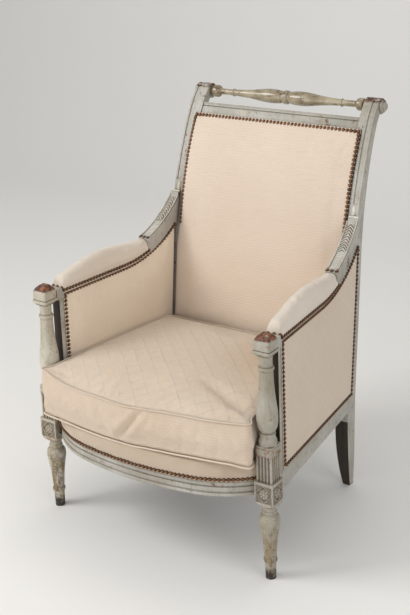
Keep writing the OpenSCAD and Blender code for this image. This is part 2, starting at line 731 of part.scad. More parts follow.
// Blocks glued into the four corners of the seat frame.
module corner_block(y, dir) {
    inner = post_x - rail_t / 2;
    difference() {
        translate([0, 0, rail_z + tenon_shoulder]) linear_extrude(rail_h - 3 * tenon_shoulder)
            polygon([[inner - corner_block_l, y], [inner, y], [inner, y + dir * corner_block_l]]);
        side_rail_shape();
        front_rail_shape();
        stile_notch();
        translate([post_x, 0, 0]) slab(-die_w / 2, die_w / 2, -die_w / 2, die_w / 2, 0, far);
        side_axes() slab(-rail_t / 2, far, -far, far, 0, far);
    }
}

module corner_blocks() {
    rear = seat_y + tenon_l - cap_over - tenon_t / 2;
    color(raw_wood) place() for (side = [-1, 1]) on_side(side) {
        corner_block(die_w / 2 - rail_groove, 1);
        corner_block_rear(rear);
    }
}

module corner_block_rear(y) {
    inner = rear_x - rail_t / 2;
    difference() {
        translate([0, 0, rear_rail_z + tenon_shoulder / 2])
            linear_extrude(rail_top - rear_rail_z - 1.5 * tenon_shoulder)
            polygon([[inner - corner_block_l, y], [inner + tenon_l, y],
                [inner + tenon_l, y - corner_block_l]]);
        side_axes() slab(-rail_t / 2, far, -far, far, 0, far);
        slab(stile_in(rail_top), far, 0, far, 0, far);
    }
}

// Plan of the inside of the seat between the side pads, cut behind a line and in front of the back.
function side_line_x(y, off) = post_x + off / cos(splay) - y * tan(splay);
module seat_plan(inset, off, rear) {
    bow = bow_line(inset);
    difference() {
        intersection() {
            polygon(concat(bow, [[bow[len(bow) - 1][0], rear], [bow[0][0], rear]]));
            polygon([for (p = [[-1, -bow_d], [1, -bow_d], [1, rear], [-1, rear]])
                [p[0] * side_line_x(p[1], off), p[1]]]);
        }
        for (side = [-1, 1]) {
            translate([side * post_x, 0]) square(die_w + 2 * soft_gap, center = true);
            translate([side * (stile_in(rail_top) + stile_w), seat_y + stile_d / 2])
                square([2 * stile_w, stile_d + 2 * tenon_shoulder], center = true);
        }
    }
}

strap_rows = 5;
strap_columns = 6;
module seat_webbing() {
    x0 = side_line_x(die_w, -rail_t / 2);
    rear = seat_y + rail_t / 2;
    color(jute) place() {
        intersection() {
            for (i = [0 : strap_columns - 1]) let (x = mix(-x0, x0, (i + 0.5) / strap_columns) * 0.94)
                slab(x - strap_w / 2, x + strap_w / 2, -far, far, rail_top, rail_top + strap_t);
            linear_extrude(far) seat_plan(cloth_t * 6, -rail_t / 2, rear);
        }
        intersection() {
            for (i = [0 : strap_rows - 1])
                let (y = mix(upright_y + upright_d, seat_y, (i + 0.5) / strap_rows))
                slab(-far, far, y - strap_w / 2, y + strap_w / 2, rail_top + strap_t, rail_top + 2 * strap_t);
            linear_extrude(far) seat_plan(cloth_t * 6, 0, seat_y - 2 * back_rail_t);
        }
    }
}

hessian_z = rail_top + 2 * strap_t;
module seat_hessian() {
    color(jute) place() translate([0, 0, hessian_z])
        linear_extrude(cloth_t / 2) seat_plan(cloth_t * 6, -side_t, seat_y - 2 * back_rail_t);
}

// Stitched horsehair roll along the front edge, the stuffing behind it, and the tight cover.
roll_w = 34;
roll_r = 13;
function roll_line(out, top) = [for (i = [0 : 6]) let (a = 90 * i / 6)
    [out + roll_r - roll_r * cos(a), top - roll_r + roll_r * sin(a)]];
module seat_edge_roll() {
    stuff_z = hessian_z + cloth_t / 2;
    inset = cloth_t + rail_step;
    color(hair) place() intersection() {
        bow_sweep() polygon(concat([[inset + roll_w, stuff_z], [inset + cloth_t * 2, stuff_z]],
            roll_line(inset, platform_z - cloth_t - soft_gap),
            [[inset + roll_w, platform_z - cloth_t - soft_gap]]));
        linear_extrude(far) seat_plan(-cap_over, -side_t - soft_gap, seat_y);
    }
}

module seat_stuffing() {
    stuff_z = hessian_z + cloth_t / 2;
    color(hair) place() translate([0, 0, stuff_z])
        linear_extrude(platform_z - cloth_t - soft_gap - stuff_z)
            seat_plan(roll_w + 2 * cloth_t + 2 * rail_step, -side_t - side_swell - soft_gap,
                seat_y - 2 * back_rail_t);
}

module seat_cover() {
    top = platform_z;
    inset = rail_step / 2;
    color(cloth) place() {
        intersection() {
            bow_sweep() polygon(concat([[inset, skirt_z + soft_gap]], roll_line(inset - rail_step, top),
                [[roll_w, top], [roll_w, top - cloth_t]],
                [for (i = [6 : -1 : 0]) let (p = roll_line(inset + cloth_t - rail_step, top - cloth_t)[i]) p],
                [[inset + cloth_t, skirt_z + soft_gap]]));
            slab(-post_x + die_w / 2, post_x - die_w / 2, -far, die_w / 2, 0, far);
        }
        translate([0, 0, top - cloth_t]) linear_extrude(cloth_t)
            seat_plan(roll_w - cloth_t, -side_t - side_swell - soft_gap, seat_y - 2 * back_rail_t);
    }
}

module bottom_cloth_sheet() {
    translate([0, 0, -cloth_t]) linear_extrude(cloth_t) difference() {
        seat_plan(tenon_shoulder, -tenon_shoulder / 2, seat_y - soft_gap);
        for (side = [-1, 1]) translate([side * post_x, 0]) square(die_w + 2 * soft_gap, center = true);
    }
}

module bottom_cloth() {
    bend = die_w / 2;
    color(hair) place() translate([0, 0, rail_z]) {
        intersection() {
            bottom_cloth_sheet();
            slab(-far, far, -far, bend, -far, far);
        }
        intersection() {
            translate([0, bend, 0]) rotate([atan(under_slope), 0, 0]) translate([0, -bend, 0])
                bottom_cloth_sheet();
            slab(-far, far, bend, far, -far, far);
        }
    }
}

// Back upholstery: webbing and hessian on the frame, then the pad, and the cover behind.
module back_sheet(x0, x1, z0, z1, d0, d1) {
    steps = 20;
    zs = [for (i = [0 : steps]) mix(z0, z1, i / steps)];
    across(x0, x1) polygon(concat([for (z = zs) back_pt(z, d0)],
        [for (i = [steps : -1 : 0]) back_pt(zs[i], d1)]));
}

back_pad_low = platform_z + cloth_t;
back_pad_top = back_top_z - back_rail_h * 0.52;
back_edge_x = stile_in(back_top_z) + stile_top_w * 0.37;
layer_gap = 0.2;
rebate = 2 * (strap_t + layer_gap);
module back_webbing() {
    color(jute) place() {
        for (i = [-1, 0, 1]) let (x = i * back_edge_x * 0.5)
            back_sheet(x - strap_w / 2, x + strap_w / 2, back_pad_low + low_rail_h / 2,
                back_pad_top - cloth_t, rebate - strap_t - layer_gap, rebate - layer_gap);
        for (i = [0 : 3]) let (z = mix(back_pad_low + 2 * low_rail_h, back_pad_top - 2 * low_rail_h, i / 3))
            back_sheet(-back_edge_x + cloth_t, back_edge_x - cloth_t, z - strap_w / 2, z + strap_w / 2,
                rebate - 2 * (strap_t + layer_gap), rebate - strap_t - 2 * layer_gap);
    }
}

module back_hessian() {
    color(jute) place() back_sheet(-back_edge_x + cloth_t, back_edge_x - cloth_t,
        back_pad_low + cloth_t, back_pad_top - cloth_t, -layer_gap - cloth_t / 2, -layer_gap);
}

// A closed pad from a grid of front points and a grid of back points.
module grid_pad(front, back) {
    nu = len(front);
    nv = len(front[0]);
    pts = concat([for (row = front) for (p = row) p], [for (row = back) for (p = row) p]);
    half = nu * nv;
    function at(i, j) = i * nv + j;
    faces = concat(
        [for (i = [0 : nu - 2]) for (j = [0 : nv - 2]) each [
            [at(i, j), at(i, j + 1), at(i + 1, j + 1)], [at(i, j), at(i + 1, j + 1), at(i + 1, j)],
            [half + at(i, j), half + at(i + 1, j + 1), half + at(i, j + 1)],
            [half + at(i, j), half + at(i + 1, j), half + at(i + 1, j + 1)]]],
        [for (i = [0 : nu - 2]) each [
            [at(i, 0), at(i + 1, 0), half + at(i + 1, 0)], [at(i, 0), half + at(i + 1, 0), half + at(i, 0)],
            [at(i + 1, nv - 1), at(i, nv - 1), half + at(i, nv - 1)],
            [at(i + 1, nv - 1), half + at(i, nv - 1), half + at(i + 1, nv - 1)]]],
        [for (j = [0 : nv - 2]) each [
            [at(0, j + 1), at(0, j), half + at(0, j)], [at(0, j + 1), half + at(0, j), half + at(0, j + 1)],
            [at(nu - 1, j), at(nu - 1, j + 1), half + at(nu - 1, j + 1)],
            [at(nu - 1, j), half + at(nu - 1, j + 1), half + at(nu - 1, j)]]]);
    polyhedron(pts, faces);
}

function swell(u, v) = (1 - pow(2 * u - 1, 6)) * (1 - pow(2 * v - 1, 6));
back_cells = [10, 16];
module back_pad() {
    face = cloth_t / 2 + 3 * layer_gap;
    function pt(i, j, d) = let (z = mix(back_pad_low, back_pad_top, j / back_cells[1]), q = back_pt(z, -d))
        [mix(-back_edge_x, back_edge_x, i / back_cells[0]), q[0], q[1]];
    front = [for (i = [0 : back_cells[0]]) [for (j = [0 : back_cells[1]])
        pt(i, j, face + cloth_t + back_swell * swell(i / back_cells[0], j / back_cells[1]))]];
    back = [for (i = [0 : back_cells[0]]) [for (j = [0 : back_cells[1]]) pt(i, j, face)]];
    color(cloth) place() grid_pad(front, back);
}

module back_outer_cover() {
    z1 = back_top_z - back_rail_h * 0.4;
    color(cloth) place() intersection() {
        back_sheet(-post_x, post_x, back_pad_low + tenon_shoulder, z1, back_rail_t + layer_gap,
            back_rail_t + layer_gap + cloth_t);
        through(0, seat_y + far) polygon([[-stile_in(rail_top) + soft_gap, rail_top],
            [stile_in(rail_top) - soft_gap, rail_top],
            [stile_in(back_top_z) - soft_gap, back_top_z], [-stile_in(back_top_z) + soft_gap, back_top_z]]);
    }
}

// Side upholstery: a swelled pad inside and a flat cover outside, both up to the arm.
side_cells = [9, 7];
cover_lap = 10;
module side_pad(side) {
    y0 = upright_y + upright_d / 2;
    low = platform_z + soft_gap;
    face = side_t / 2 + soft_gap;
    function pt(i, j, d) =
        let (u = i / side_cells[0], v = j / side_cells[1], z = mix(low, arm_z + cover_lap, v),
            y = mix(y0, back_y(z) - 3 * rail_groove, u),
            z2 = z + v * (sweep_low(y) - arm_z))
        [-d, y, z2];
    inner = [for (i = [0 : side_cells[0]]) [for (j = [0 : side_cells[1]])
        pt(i, j, face + cloth_t + side_swell * swell(i / side_cells[0], j / side_cells[1]))]];
    outer = [for (i = [0 : side_cells[0]]) [for (j = [0 : side_cells[1]]) pt(i, j, face)]];
    color(cloth) place() on_side(side) side_axes() grid_pad(outer, inner);
}

module side_outer_cover(side) {
    y0 = upright_y + upright_d / 2;
    low = side_skirt_z + soft_gap;
    ys = [for (i = [0 : 8]) mix(sweep_y, back_y(arm_z + 2 * sweep_d) + cover_lap, i / 8)];
    color(cloth) place() on_side(side) side_axes() across(side_t / 2 + soft_gap, side_t / 2 + soft_gap + cloth_t)
        polygon(concat([[y0, low + side_skirt_rise * y0 / side_run],
            [side_run, low + side_skirt_rise], [back_y(low) + cover_lap, low + side_skirt_rise]],
            [for (i = [1 : 3]) [back_y(mix(low, arm_z, i / 3)) + cover_lap, mix(low, arm_z, i / 3)]],
            [for (i = [8 : -1 : 0]) [ys[i], sweep_low(ys[i]) + cover_lap]], [[y0, arm_z + cover_lap]]));
}

// Arm pads: rounded sections along the arm.
pad_top_shares = [0.30, 0.56, 0.72, 0.86, 0.95, 1, 1, 0.96, 0.88, 0.76, 0.62, 0.40];
pad_width_shares = [0.72, 0.9, 0.97, 1, 1, 1, 1, 1, 1, 0.97, 0.92, 0.78];
section_steps = 11;
module arm_pad(side) {
    stations = len(pad_top_shares);
    function base_z(y) = y <= sweep_y ? arm_z + arm_t
        : arm_c[1] - sqrt(pow(pad_base_r, 2) - pow(y - sweep_y, 2));
    function ring(i) = let (y = mix(pad_start, pad_end, i / (stations - 1)),
            w = pad_w / 2 * pad_width_shares[i], h = pad_h * pad_top_shares[i])
        [for (k = [0 : section_steps]) let (a = 180 * k / section_steps)
            [-w * cos(a) - rail_groove, y, base_z(y) + soft_gap + h * pow(sin(a), 0.75)]];
    rings = [for (i = [0 : stations - 1]) ring(i)];
    n = section_steps + 1;
    pts = [for (r = rings) for (p = r) p];
    faces = concat(
        [for (i = [0 : stations - 2]) for (k = [0 : n - 1]) let (m = (k + 1) % n)
            each [[i * n + k, (i + 1) * n + m, i * n + m], [i * n + k, (i + 1) * n + k, (i + 1) * n + m]]],
        [for (k = [1 : n - 2]) [0, k, k + 1]],
        [for (k = [1 : n - 2]) let (e = (stations - 1) * n) [e, e + k + 1, e + k]]);
    color(pale_cloth) place() on_side(side) side_axes() polyhedron(pts, faces);
}

// Cushion: half outline from the middle of the front edge round to the middle of the rear edge.
cushion_low = platform_z + 2 * piping_r + soft_gap;
cushion_rear = seat_y - back_rail_t;
rear_drop = 9;
ear_r = 14;
corner_r = 20;
function half_outline(lean, in) =
    let (ex = cushion_x - in, front = -cushion_front_d + in,
        ear_y = cushion_sag - cushion_front_d + ear_r * 0.8,
        sx = side_line_x(0, -side_t / 2 - side_swell - cloth_t - cushion_gap - 2 * soft_gap) - in,
        slope = tan(splay), rear = cushion_rear - in,
        cx = sx - (rear - corner_r) * slope - corner_r)
    concat(
        [for (i = [0 : 9]) let (x = (ex - ear_r) * i / 10)
            [x, front + lean + (cushion_sag - lean) * pow(x / ex, 2)]],
        [for (i = [0 : 4]) let (a = mix(-70, 35, i / 4))
            [cushion_x - ear_r + (ear_r - in) * cos(a), ear_y + (ear_r - in) * sin(a)]],
        [for (i = [0 : 8]) let (y = mix(-die_w / 3 - in * 0.45, rear - corner_r * 1.25, i / 8))
            [sx - y * slope, y]],
        [for (i = [0 : 3]) let (a = mix(10, 80, i / 3))
            [cx + corner_r * cos(a), rear - corner_r + corner_r * sin(a)]],
        [for (i = [1 : 5]) let (x = (cx - corner_r / 2) * (1 - i / 5)) [x, rear]]);
function outline(lean, in) = let (h = half_outline(lean, in), n = len(h))
    concat(h, [for (i = [n - 2 : -1 : 1]) [-h[i][0], h[i][1]]]);
function seam_z(y) = cushion_low + cushion_h - rear_drop * pow(max(0, y) / cushion_rear, 2);
middle = [0, (cushion_rear - cushion_front_d) / 2];
seam_in = 2 * piping_r + soft_gap;

// Rings of the cushion as [share of height, swell outwards, share of width, crown share].
bottom_rings_shares = [[0.30, 0.9], [0.80, 0.8], [0.95, 0.4]];
box_rings_shares = [[0, 0], [0.2, 0.7], [0.5, 1], [0.8, 0.7], [1, 0]];
top_rings_shares = [[0.965, 0.22], [0.90, 0.42], [0.78, 0.64], [0.60, 0.83], [0.38, 0.95], [0.16, 1]];
box_swell = 3.2;
module cushion_body() {
    low = outline(cushion_lean, seam_in);
    high = outline(0, seam_in);
    n = len(low);
    bottom = [for (s = bottom_rings_shares) [for (p = low) let (q = middle + s[0] * (p - middle))
        [q[0], q[1], cushion_low - (2 * piping_r) * s[1]]]];
    box = [for (s = box_rings_shares)
        let (ring = outline(cushion_lean * (1 - s[0]), seam_in - box_swell * s[1]))
        [for (i = [0 : n - 1]) [ring[i][0], ring[i][1], mix(cushion_low, seam_z(ring[i][1]), s[0])]]];
    top = [for (s = top_rings_shares) [for (p = high) let (q = middle + s[0] * (p - middle))
        [q[0], q[1], seam_z(p[1]) * s[0] + seam_z(middle[1]) * (1 - s[0]) + cushion_crown * s[1]]]];
    rings = concat(bottom, box, top);
    levels = len(rings);
    pts = concat([for (r = rings) for (p = r) p],
        [[middle[0], middle[1], cushion_low - 2 * piping_r],
         [middle[0], middle[1], seam_z(middle[1]) + cushion_crown]]);
    faces = concat(
        [for (l = [0 : levels - 2]) for (k = [0 : n - 1]) let (m = (k + 1) % n)
            each [[l * n + k, l * n + m, (l + 1) * n + m], [l * n + k, (l + 1) * n + m, (l + 1) * n + k]]],
        [for (k = [0 : n - 1]) [levels * n, (k + 1) % n, k]],
        [for (k = [0 : n - 1]) [levels * n + 1, (levels - 1) * n + k, (levels - 1) * n + (k + 1) % n]]);
    color(cloth) place() polyhedron(pts, [for (f = faces) [f[2], f[1], f[0]]]);
}

// Piping: a round cord sewn into each seam.
cord_sides = 6;
module piping(path) {
    n = len(path);
    rings = [for (i = [0 : n - 1])
        let (a = path[(i + n - 1) % n], b = path[(i + 1) % n], d = [b[0] - a[0], b[1] - a[1]], t = d / norm(d))
        [for (k = [0 : cord_sides - 1]) let (w = 360 * k / cord_sides)
            [path[i][0] + t[1] * piping_r * cos(w), path[i][1] - t[0] * piping_r * cos(w),
             path[i][2] + piping_r * sin(w)]]];
    pts = [for (r = rings) for (p = r) p];
    s = cord_sides;
    faces = [for (i = [0 : n - 1]) for (k = [0 : s - 1]) let (j = (i + 1) % n, m = (k + 1) % s)
        each [[i * s + k, i * s + m, j * s + m], [i * s + k, j * s + m, j * s + k]]];
    polyhedron(pts, [for (f = faces) [f[2], f[1], f[0]]]);
}

module cushion_piping_top() {
    color(pale_cloth) place()
        piping([for (p = outline(0, piping_r)) [p[0], p[1], seam_z(p[1]) + piping_r / 2]]);
}

module cushion_piping_bottom() {
    color(pale_cloth) place() piping([for (p = outline(cushion_lean, piping_r))
        [p[0], p[1], cushion_low - piping_r / 2]]);
}

front_post(-1);  // front_post_left
front_post(1);  // front_post_right
back_stile(-1);  // back_stile_left
back_stile(1);  // back_stile_right
front_seat_rail();
side_seat_rail(-1);  // side_seat_rail_left
side_seat_rail(1);  // side_seat_rail_right
rear_seat_rail();
panel_upright(-1);  // panel_upright_left
panel_upright(1);  // panel_upright_right
arm(-1);  // arm_left
arm(1);  // arm_right
back_top_rail();
back_lower_rail();
crest_spindle();
scroll_button(-1);  // scroll_button_left
scroll_button(1);  // scroll_button_right
corner_blocks();
seat_webbing();
seat_hessian();
seat_edge_roll();
seat_stuffing();
seat_cover();
bottom_cloth();
back_webbing();
back_hessian();
back_pad();
back_outer_cover();
side_pad(-1);  // side_pad_left
side_pad(1);  // side_pad_right
side_outer_cover(-1);  // side_outer_cover_left
side_outer_cover(1);  // side_outer_cover_right
arm_pad(-1);  // arm_pad_left
arm_pad(1);  // arm_pad_right
cushion_body();
cushion_piping_top();
cushion_piping_bottom();
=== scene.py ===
import math
import bmesh
import bpy
from mathutils import Matrix, Vector, noise


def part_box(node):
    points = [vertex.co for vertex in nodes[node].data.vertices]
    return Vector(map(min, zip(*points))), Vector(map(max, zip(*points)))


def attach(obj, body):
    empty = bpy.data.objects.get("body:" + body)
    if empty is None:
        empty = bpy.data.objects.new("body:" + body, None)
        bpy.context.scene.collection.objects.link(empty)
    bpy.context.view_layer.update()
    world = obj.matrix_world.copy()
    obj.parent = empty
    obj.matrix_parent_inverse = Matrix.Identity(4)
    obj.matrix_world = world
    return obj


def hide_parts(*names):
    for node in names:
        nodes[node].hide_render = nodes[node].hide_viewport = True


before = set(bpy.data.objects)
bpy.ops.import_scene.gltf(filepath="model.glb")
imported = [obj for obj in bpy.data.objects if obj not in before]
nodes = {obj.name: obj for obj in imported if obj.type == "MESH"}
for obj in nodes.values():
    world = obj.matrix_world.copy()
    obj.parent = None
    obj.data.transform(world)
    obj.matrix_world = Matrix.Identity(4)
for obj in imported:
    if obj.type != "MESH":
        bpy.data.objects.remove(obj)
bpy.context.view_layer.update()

# The studio: a pale floor that runs up into a pale wall, one large soft light high on the left in
# front of the chair, weaker ones low in front, on the right and above, and a camera at eye height.
# Floor and wall are clear from behind, so they hide nothing from another side.
mm = 0.001
post_low, post_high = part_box("front_post_right")
post_y = (post_low.y + post_high.y) / 2
picture_height = 615
camera_azimuth, camera_elevation, camera_roll = (math.radians(a) for a in (34.65, 15.93, -2.13))
camera_place = Vector((1.5136, post_y - 1.9540, 1.5239))
focal_pixels, rise_pixels = 1208.33, 112.52
back = Vector((math.sin(camera_azimuth) * math.cos(camera_elevation),
               -math.cos(camera_azimuth) * math.cos(camera_elevation), math.sin(camera_elevation)))
level = Vector((0, 0, 1)).cross(back).normalized()
upward = back.cross(level)
across = level * math.cos(camera_roll) + upward * math.sin(camera_roll)
upright = upward * math.cos(camera_roll) - level * math.sin(camera_roll)
lens = bpy.data.cameras.new("studio_camera")
lens.sensor_width = 36
lens.lens = lens.sensor_width * focal_pixels / picture_height
lens.shift_y = -rise_pixels / picture_height
camera = bpy.data.objects.new("studio_camera", lens)
camera.matrix_world = Matrix.Translation(camera_place) @ Matrix((across, upright, back)).transposed().to_4x4()
bpy.context.collection.objects.link(camera)
bpy.context.scene.camera = camera
bpy.context.scene.view_settings.view_transform = "Standard"


def linear(red, green, blue):
    """A colour given as it looks on screen, 0 to 255, for a shader."""
    parts = [v / 255 for v in (red, green, blue)]
    return tuple(v / 12.92 if v <= 0.04045 else ((v + 0.055) / 1.055) ** 2.4 for v in parts) + (1,)


def lamp(name, place, aim, size, power, tint):
    """A soft rectangular light that looks at a point."""
    light = bpy.data.lights.new(name, "AREA")
    light.shape, light.size, light.size_y = "RECTANGLE", size[0], size[1]
    light.energy, light.color = power, tint
    lit = bpy.data.objects.new(name, light)
    lit.location = place
    lit.rotation_mode = "QUATERNION"
    lit.rotation_quaternion = (Vector(aim) - Vector(place)).to_track_quat("-Z", "Y")
    bpy.context.collection.objects.link(lit)


lamp("key_softbox", (-2.0, -1.9, 2.6), (0, 0, 0.45), (1.5, 1.5), 58, (1.0, 0.985, 0.96))
lamp("fill_softbox", (2.9, -0.9, 1.7), (0, 0, 0.5), (1.8, 1.8), 21, (0.97, 0.98, 1.0))
lamp("low_softbox", (-0.2, -3.3, 1.0), (0, 0, 0.45), (2.4, 1.4), 27, (1.0, 0.99, 0.97))
lamp("top_softbox", (0.2, 0.7, 3.0), (0, 0, 0.6), (1.8, 1.2), 9, (1.0, 0.99, 0.97))


class Wire:
    """The output of a node, for use in sums."""

    def __init__(self, finish, socket):
        self.finish, self.socket = finish, socket

    def maths(self, operation, *others):
        """The result of a sum on this output and others."""
        return self.finish.node("Math", {"operation": operation}, dict(enumerate((self, *others))))

    def __add__(self, other):
        return self.maths("ADD", other)

    def __radd__(self, other):
        return self.maths("ADD", other)

    def __sub__(self, other):
        return self.maths("SUBTRACT", other)

    def __rsub__(self, other):
        return self.finish.node("Math", {"operation": "SUBTRACT"}, {0: other, 1: self})

    def __mul__(self, other):
        return self.maths("MULTIPLY", other)

    def limit(self, low, high):
        """0 below low and 1 above high, with a smooth step between."""
        return self.finish.node("MapRange", {"interpolation_type": "SMOOTHSTEP"},
                                {"Value": self, "From Min": low, "From Max": high})


class Finish:
    """A material under construction."""

    def __init__(self, name):
        self.material = bpy.data.materials.new(name)
        self.material.use_nodes = True
        self.tree = self.material.node_tree
        self.tree.nodes.clear()

    def node(self, kind, settings=None, inputs=None, out=0):
        """A new node, given as the output that is asked for."""
        made = self.tree.nodes.new("ShaderNode" + kind)
        for key, value in (settings or {}).items():
            setattr(made, key, value)
        for key, value in (inputs or {}).items():
            if isinstance(value, Wire):
                self.tree.links.new(value.socket, made.inputs[key])
            else:
                made.inputs[key].default_value = value
        return Wire(self, made.outputs[out]) if made.outputs else made

    def mix(self, share, first, second):
        """The first colour with a share of the second over it."""
        return self.node("Mix", {"data_type": "RGBA"}, {0: share, 6: first, 7: second}, 2)

    def grain(self, scale, detail=4, rough=0.6, stretch=(1, 1, 1), shift=(0, 0, 0)):
        """Noise on the piece's own coordinates."""
        place = self.node("Mapping", {}, {"Vector": self.node("TexCoord", {}, {}, "Object"), "Scale": stretch,
                                          "Location": shift})
        return self.node("TexNoise", {}, {"Vector": place, "Scale": scale, "Detail": detail,
                                          "Roughness": rough})

    def close(self, colour, roughness, metallic=0.0, bump=None, bump_depth=0.001, **more):
        """Ends the material in one Principled shader."""
        inputs = {"Base Color": colour, "Roughness": roughness, "Metallic": metallic}
        inputs.update({key.replace("_", " "): value for key, value in more.items()})
        if bump is not None:
            inputs["Normal"] = self.node("Bump", {}, {"Height": bump, "Distance": bump_depth})
        shader = self.node("BsdfPrincipled", {}, inputs)
        self.node("OutputMaterial", {}, {"Surface": shader})
        return self.material


world = bpy.data.worlds.new("studio_world")
bpy.context.scene.world = world
world.use_nodes = True
sky = world.node_tree.nodes["Background"]
sky.inputs["Color"].default_value = linear(236, 236, 234)
sky.inputs["Strength"].default_value = 0.55

floor_finish = Finish("pale_floor")
floor_grain = floor_finish.node("Bump", {}, {"Height": floor_finish.grain(60), "Distance": 0.0002})
floor_front = floor_finish.node("BsdfPrincipled", {}, {"Base Color": linear(238, 237, 235), "Roughness": 0.6,
                                                       "Normal": floor_grain})
floor_finish.node("OutputMaterial", {}, {"Surface": floor_finish.node("MixShader", {}, {
    0: floor_finish.node("NewGeometry", {}, {}, "Backfacing"), 1: floor_front,
    2: floor_finish.node("BsdfTransparent")})})
sweep = bmesh.new()
floor_half, wall_y, bend_radius, wall_height = 6.0, 3.2, 1.2, 4.5
profile = [(-floor_half, 0.0)]
for step in range(13):
    angle = math.pi / 2 * step / 12
    profile.append((wall_y - bend_radius + bend_radius * math.sin(angle),
                    bend_radius - bend_radius * math.cos(angle)))
profile.append((wall_y, wall_height))
rows = [[sweep.verts.new((x, y, z)) for x in (-floor_half, floor_half)] for y, z in profile]
for low, high in zip(rows, rows[1:]):
    sweep.faces.new((low[0], low[1], high[1], high[0]))
floor_mesh = bpy.data.meshes.new("studio_floor")
sweep.to_mesh(floor_mesh)
sweep.free()
floor = bpy.data.objects.new("studio_floor", floor_mesh)
floor.data.materials.append(floor_finish.material)
for face in floor.data.polygons:
    face.use_smooth = True
bpy.context.collection.objects.link(floor)


# The two front posts. Each is one stick of beech, painted grey and worn back to the wood: a turned
# leg, a carved block that takes the tenons of the rails, a fluted block, a turned baluster and a
# square capital.
post_out = 300


def place(x, y, z):
    """A point given in millimetres from the axis of the front posts."""
    return Vector((x * mm, post_y + y * mm, z * mm))


def eased(points, steps):
    """A smooth curve through a list of points."""
    curve = []
    for i in range(len(points) - 1):
        a, b, c, d = (points[max(i - 1, 0)], points[i], points[i + 1], points[min(i + 2, len(points) - 1)])
        for k in range(steps):
            t = k / steps
            curve.append(tuple(0.5 * (2 * q + (r - p) * t + (2 * p - 5 * q + 4 * r - s) * t * t
                                      + (3 * q - p - 3 * r + s) * t ** 3) for p, q, r, s in zip(a, b, c, d)))
    return curve + [tuple(points[-1])]


def mesh_piece(name, points, faces, finish, crisp=35, cloth_map=None):
    """A finished object from points and faces. Edges sharper than the angle stay crisp."""
    mesh = bpy.data.meshes.new(name)
    mesh.from_pydata([tuple(p) for p in points], [], faces)
    for face in mesh.polygons:
        face.use_smooth = True
    if crisp:
        mesh.set_sharp_from_angle(angle=math.radians(crisp))
    if cloth_map:
        layer = mesh.uv_layers.new(name="cloth")
        for loop in mesh.loops:
            layer.data[loop.index].uv = cloth_map[loop.vertex_index]
    mesh.materials.append(finish)
    piece = bpy.data.objects.new(name, mesh)
    bpy.context.collection.objects.link(piece)
    return piece


def skin(rings, closed=False):
    """Points and faces of a skin over rings of points that run anticlockwise as they rise. Its ends
    are capped, or it closes on itself."""
    count = len(rings[0])
    points = [p for ring in rings for p in ring]
    faces = []
    for i in range(len(rings) if closed else len(rings) - 1):
        for k in range(count):
            j, m = (i + 1) % len(rings), (k + 1) % count
            faces.append((i * count + k, i * count + m, j * count + m, j * count + k))
    if not closed:
        for ring, turn in ((0, -1), (len(rings) - 1, 1)):
            points.append(sum((Vector(p) for p in rings[ring]), Vector()) / count)
            for k in range(count):
                edge = (ring * count + k, ring * count + (k + 1) % count)
                faces.append((edge[0], edge[1], len(points) - 1) if turn > 0
                             else (edge[1], edge[0], len(points) - 1))
    return points, faces


def mirrored(piece, name):
    """The same piece for the other side of the chair."""
    twin = piece.copy()
    twin.data = piece.data.copy()
    twin.name = twin.data.name = name
    twin.data.transform(Matrix.Scale(-1, 4, (1, 0, 0)))
    twin.data.flip_normals()
    bpy.context.collection.objects.link(twin)
    return twin


gloss_of_paint, reach_of_painted_shade = 0.52, 0.011


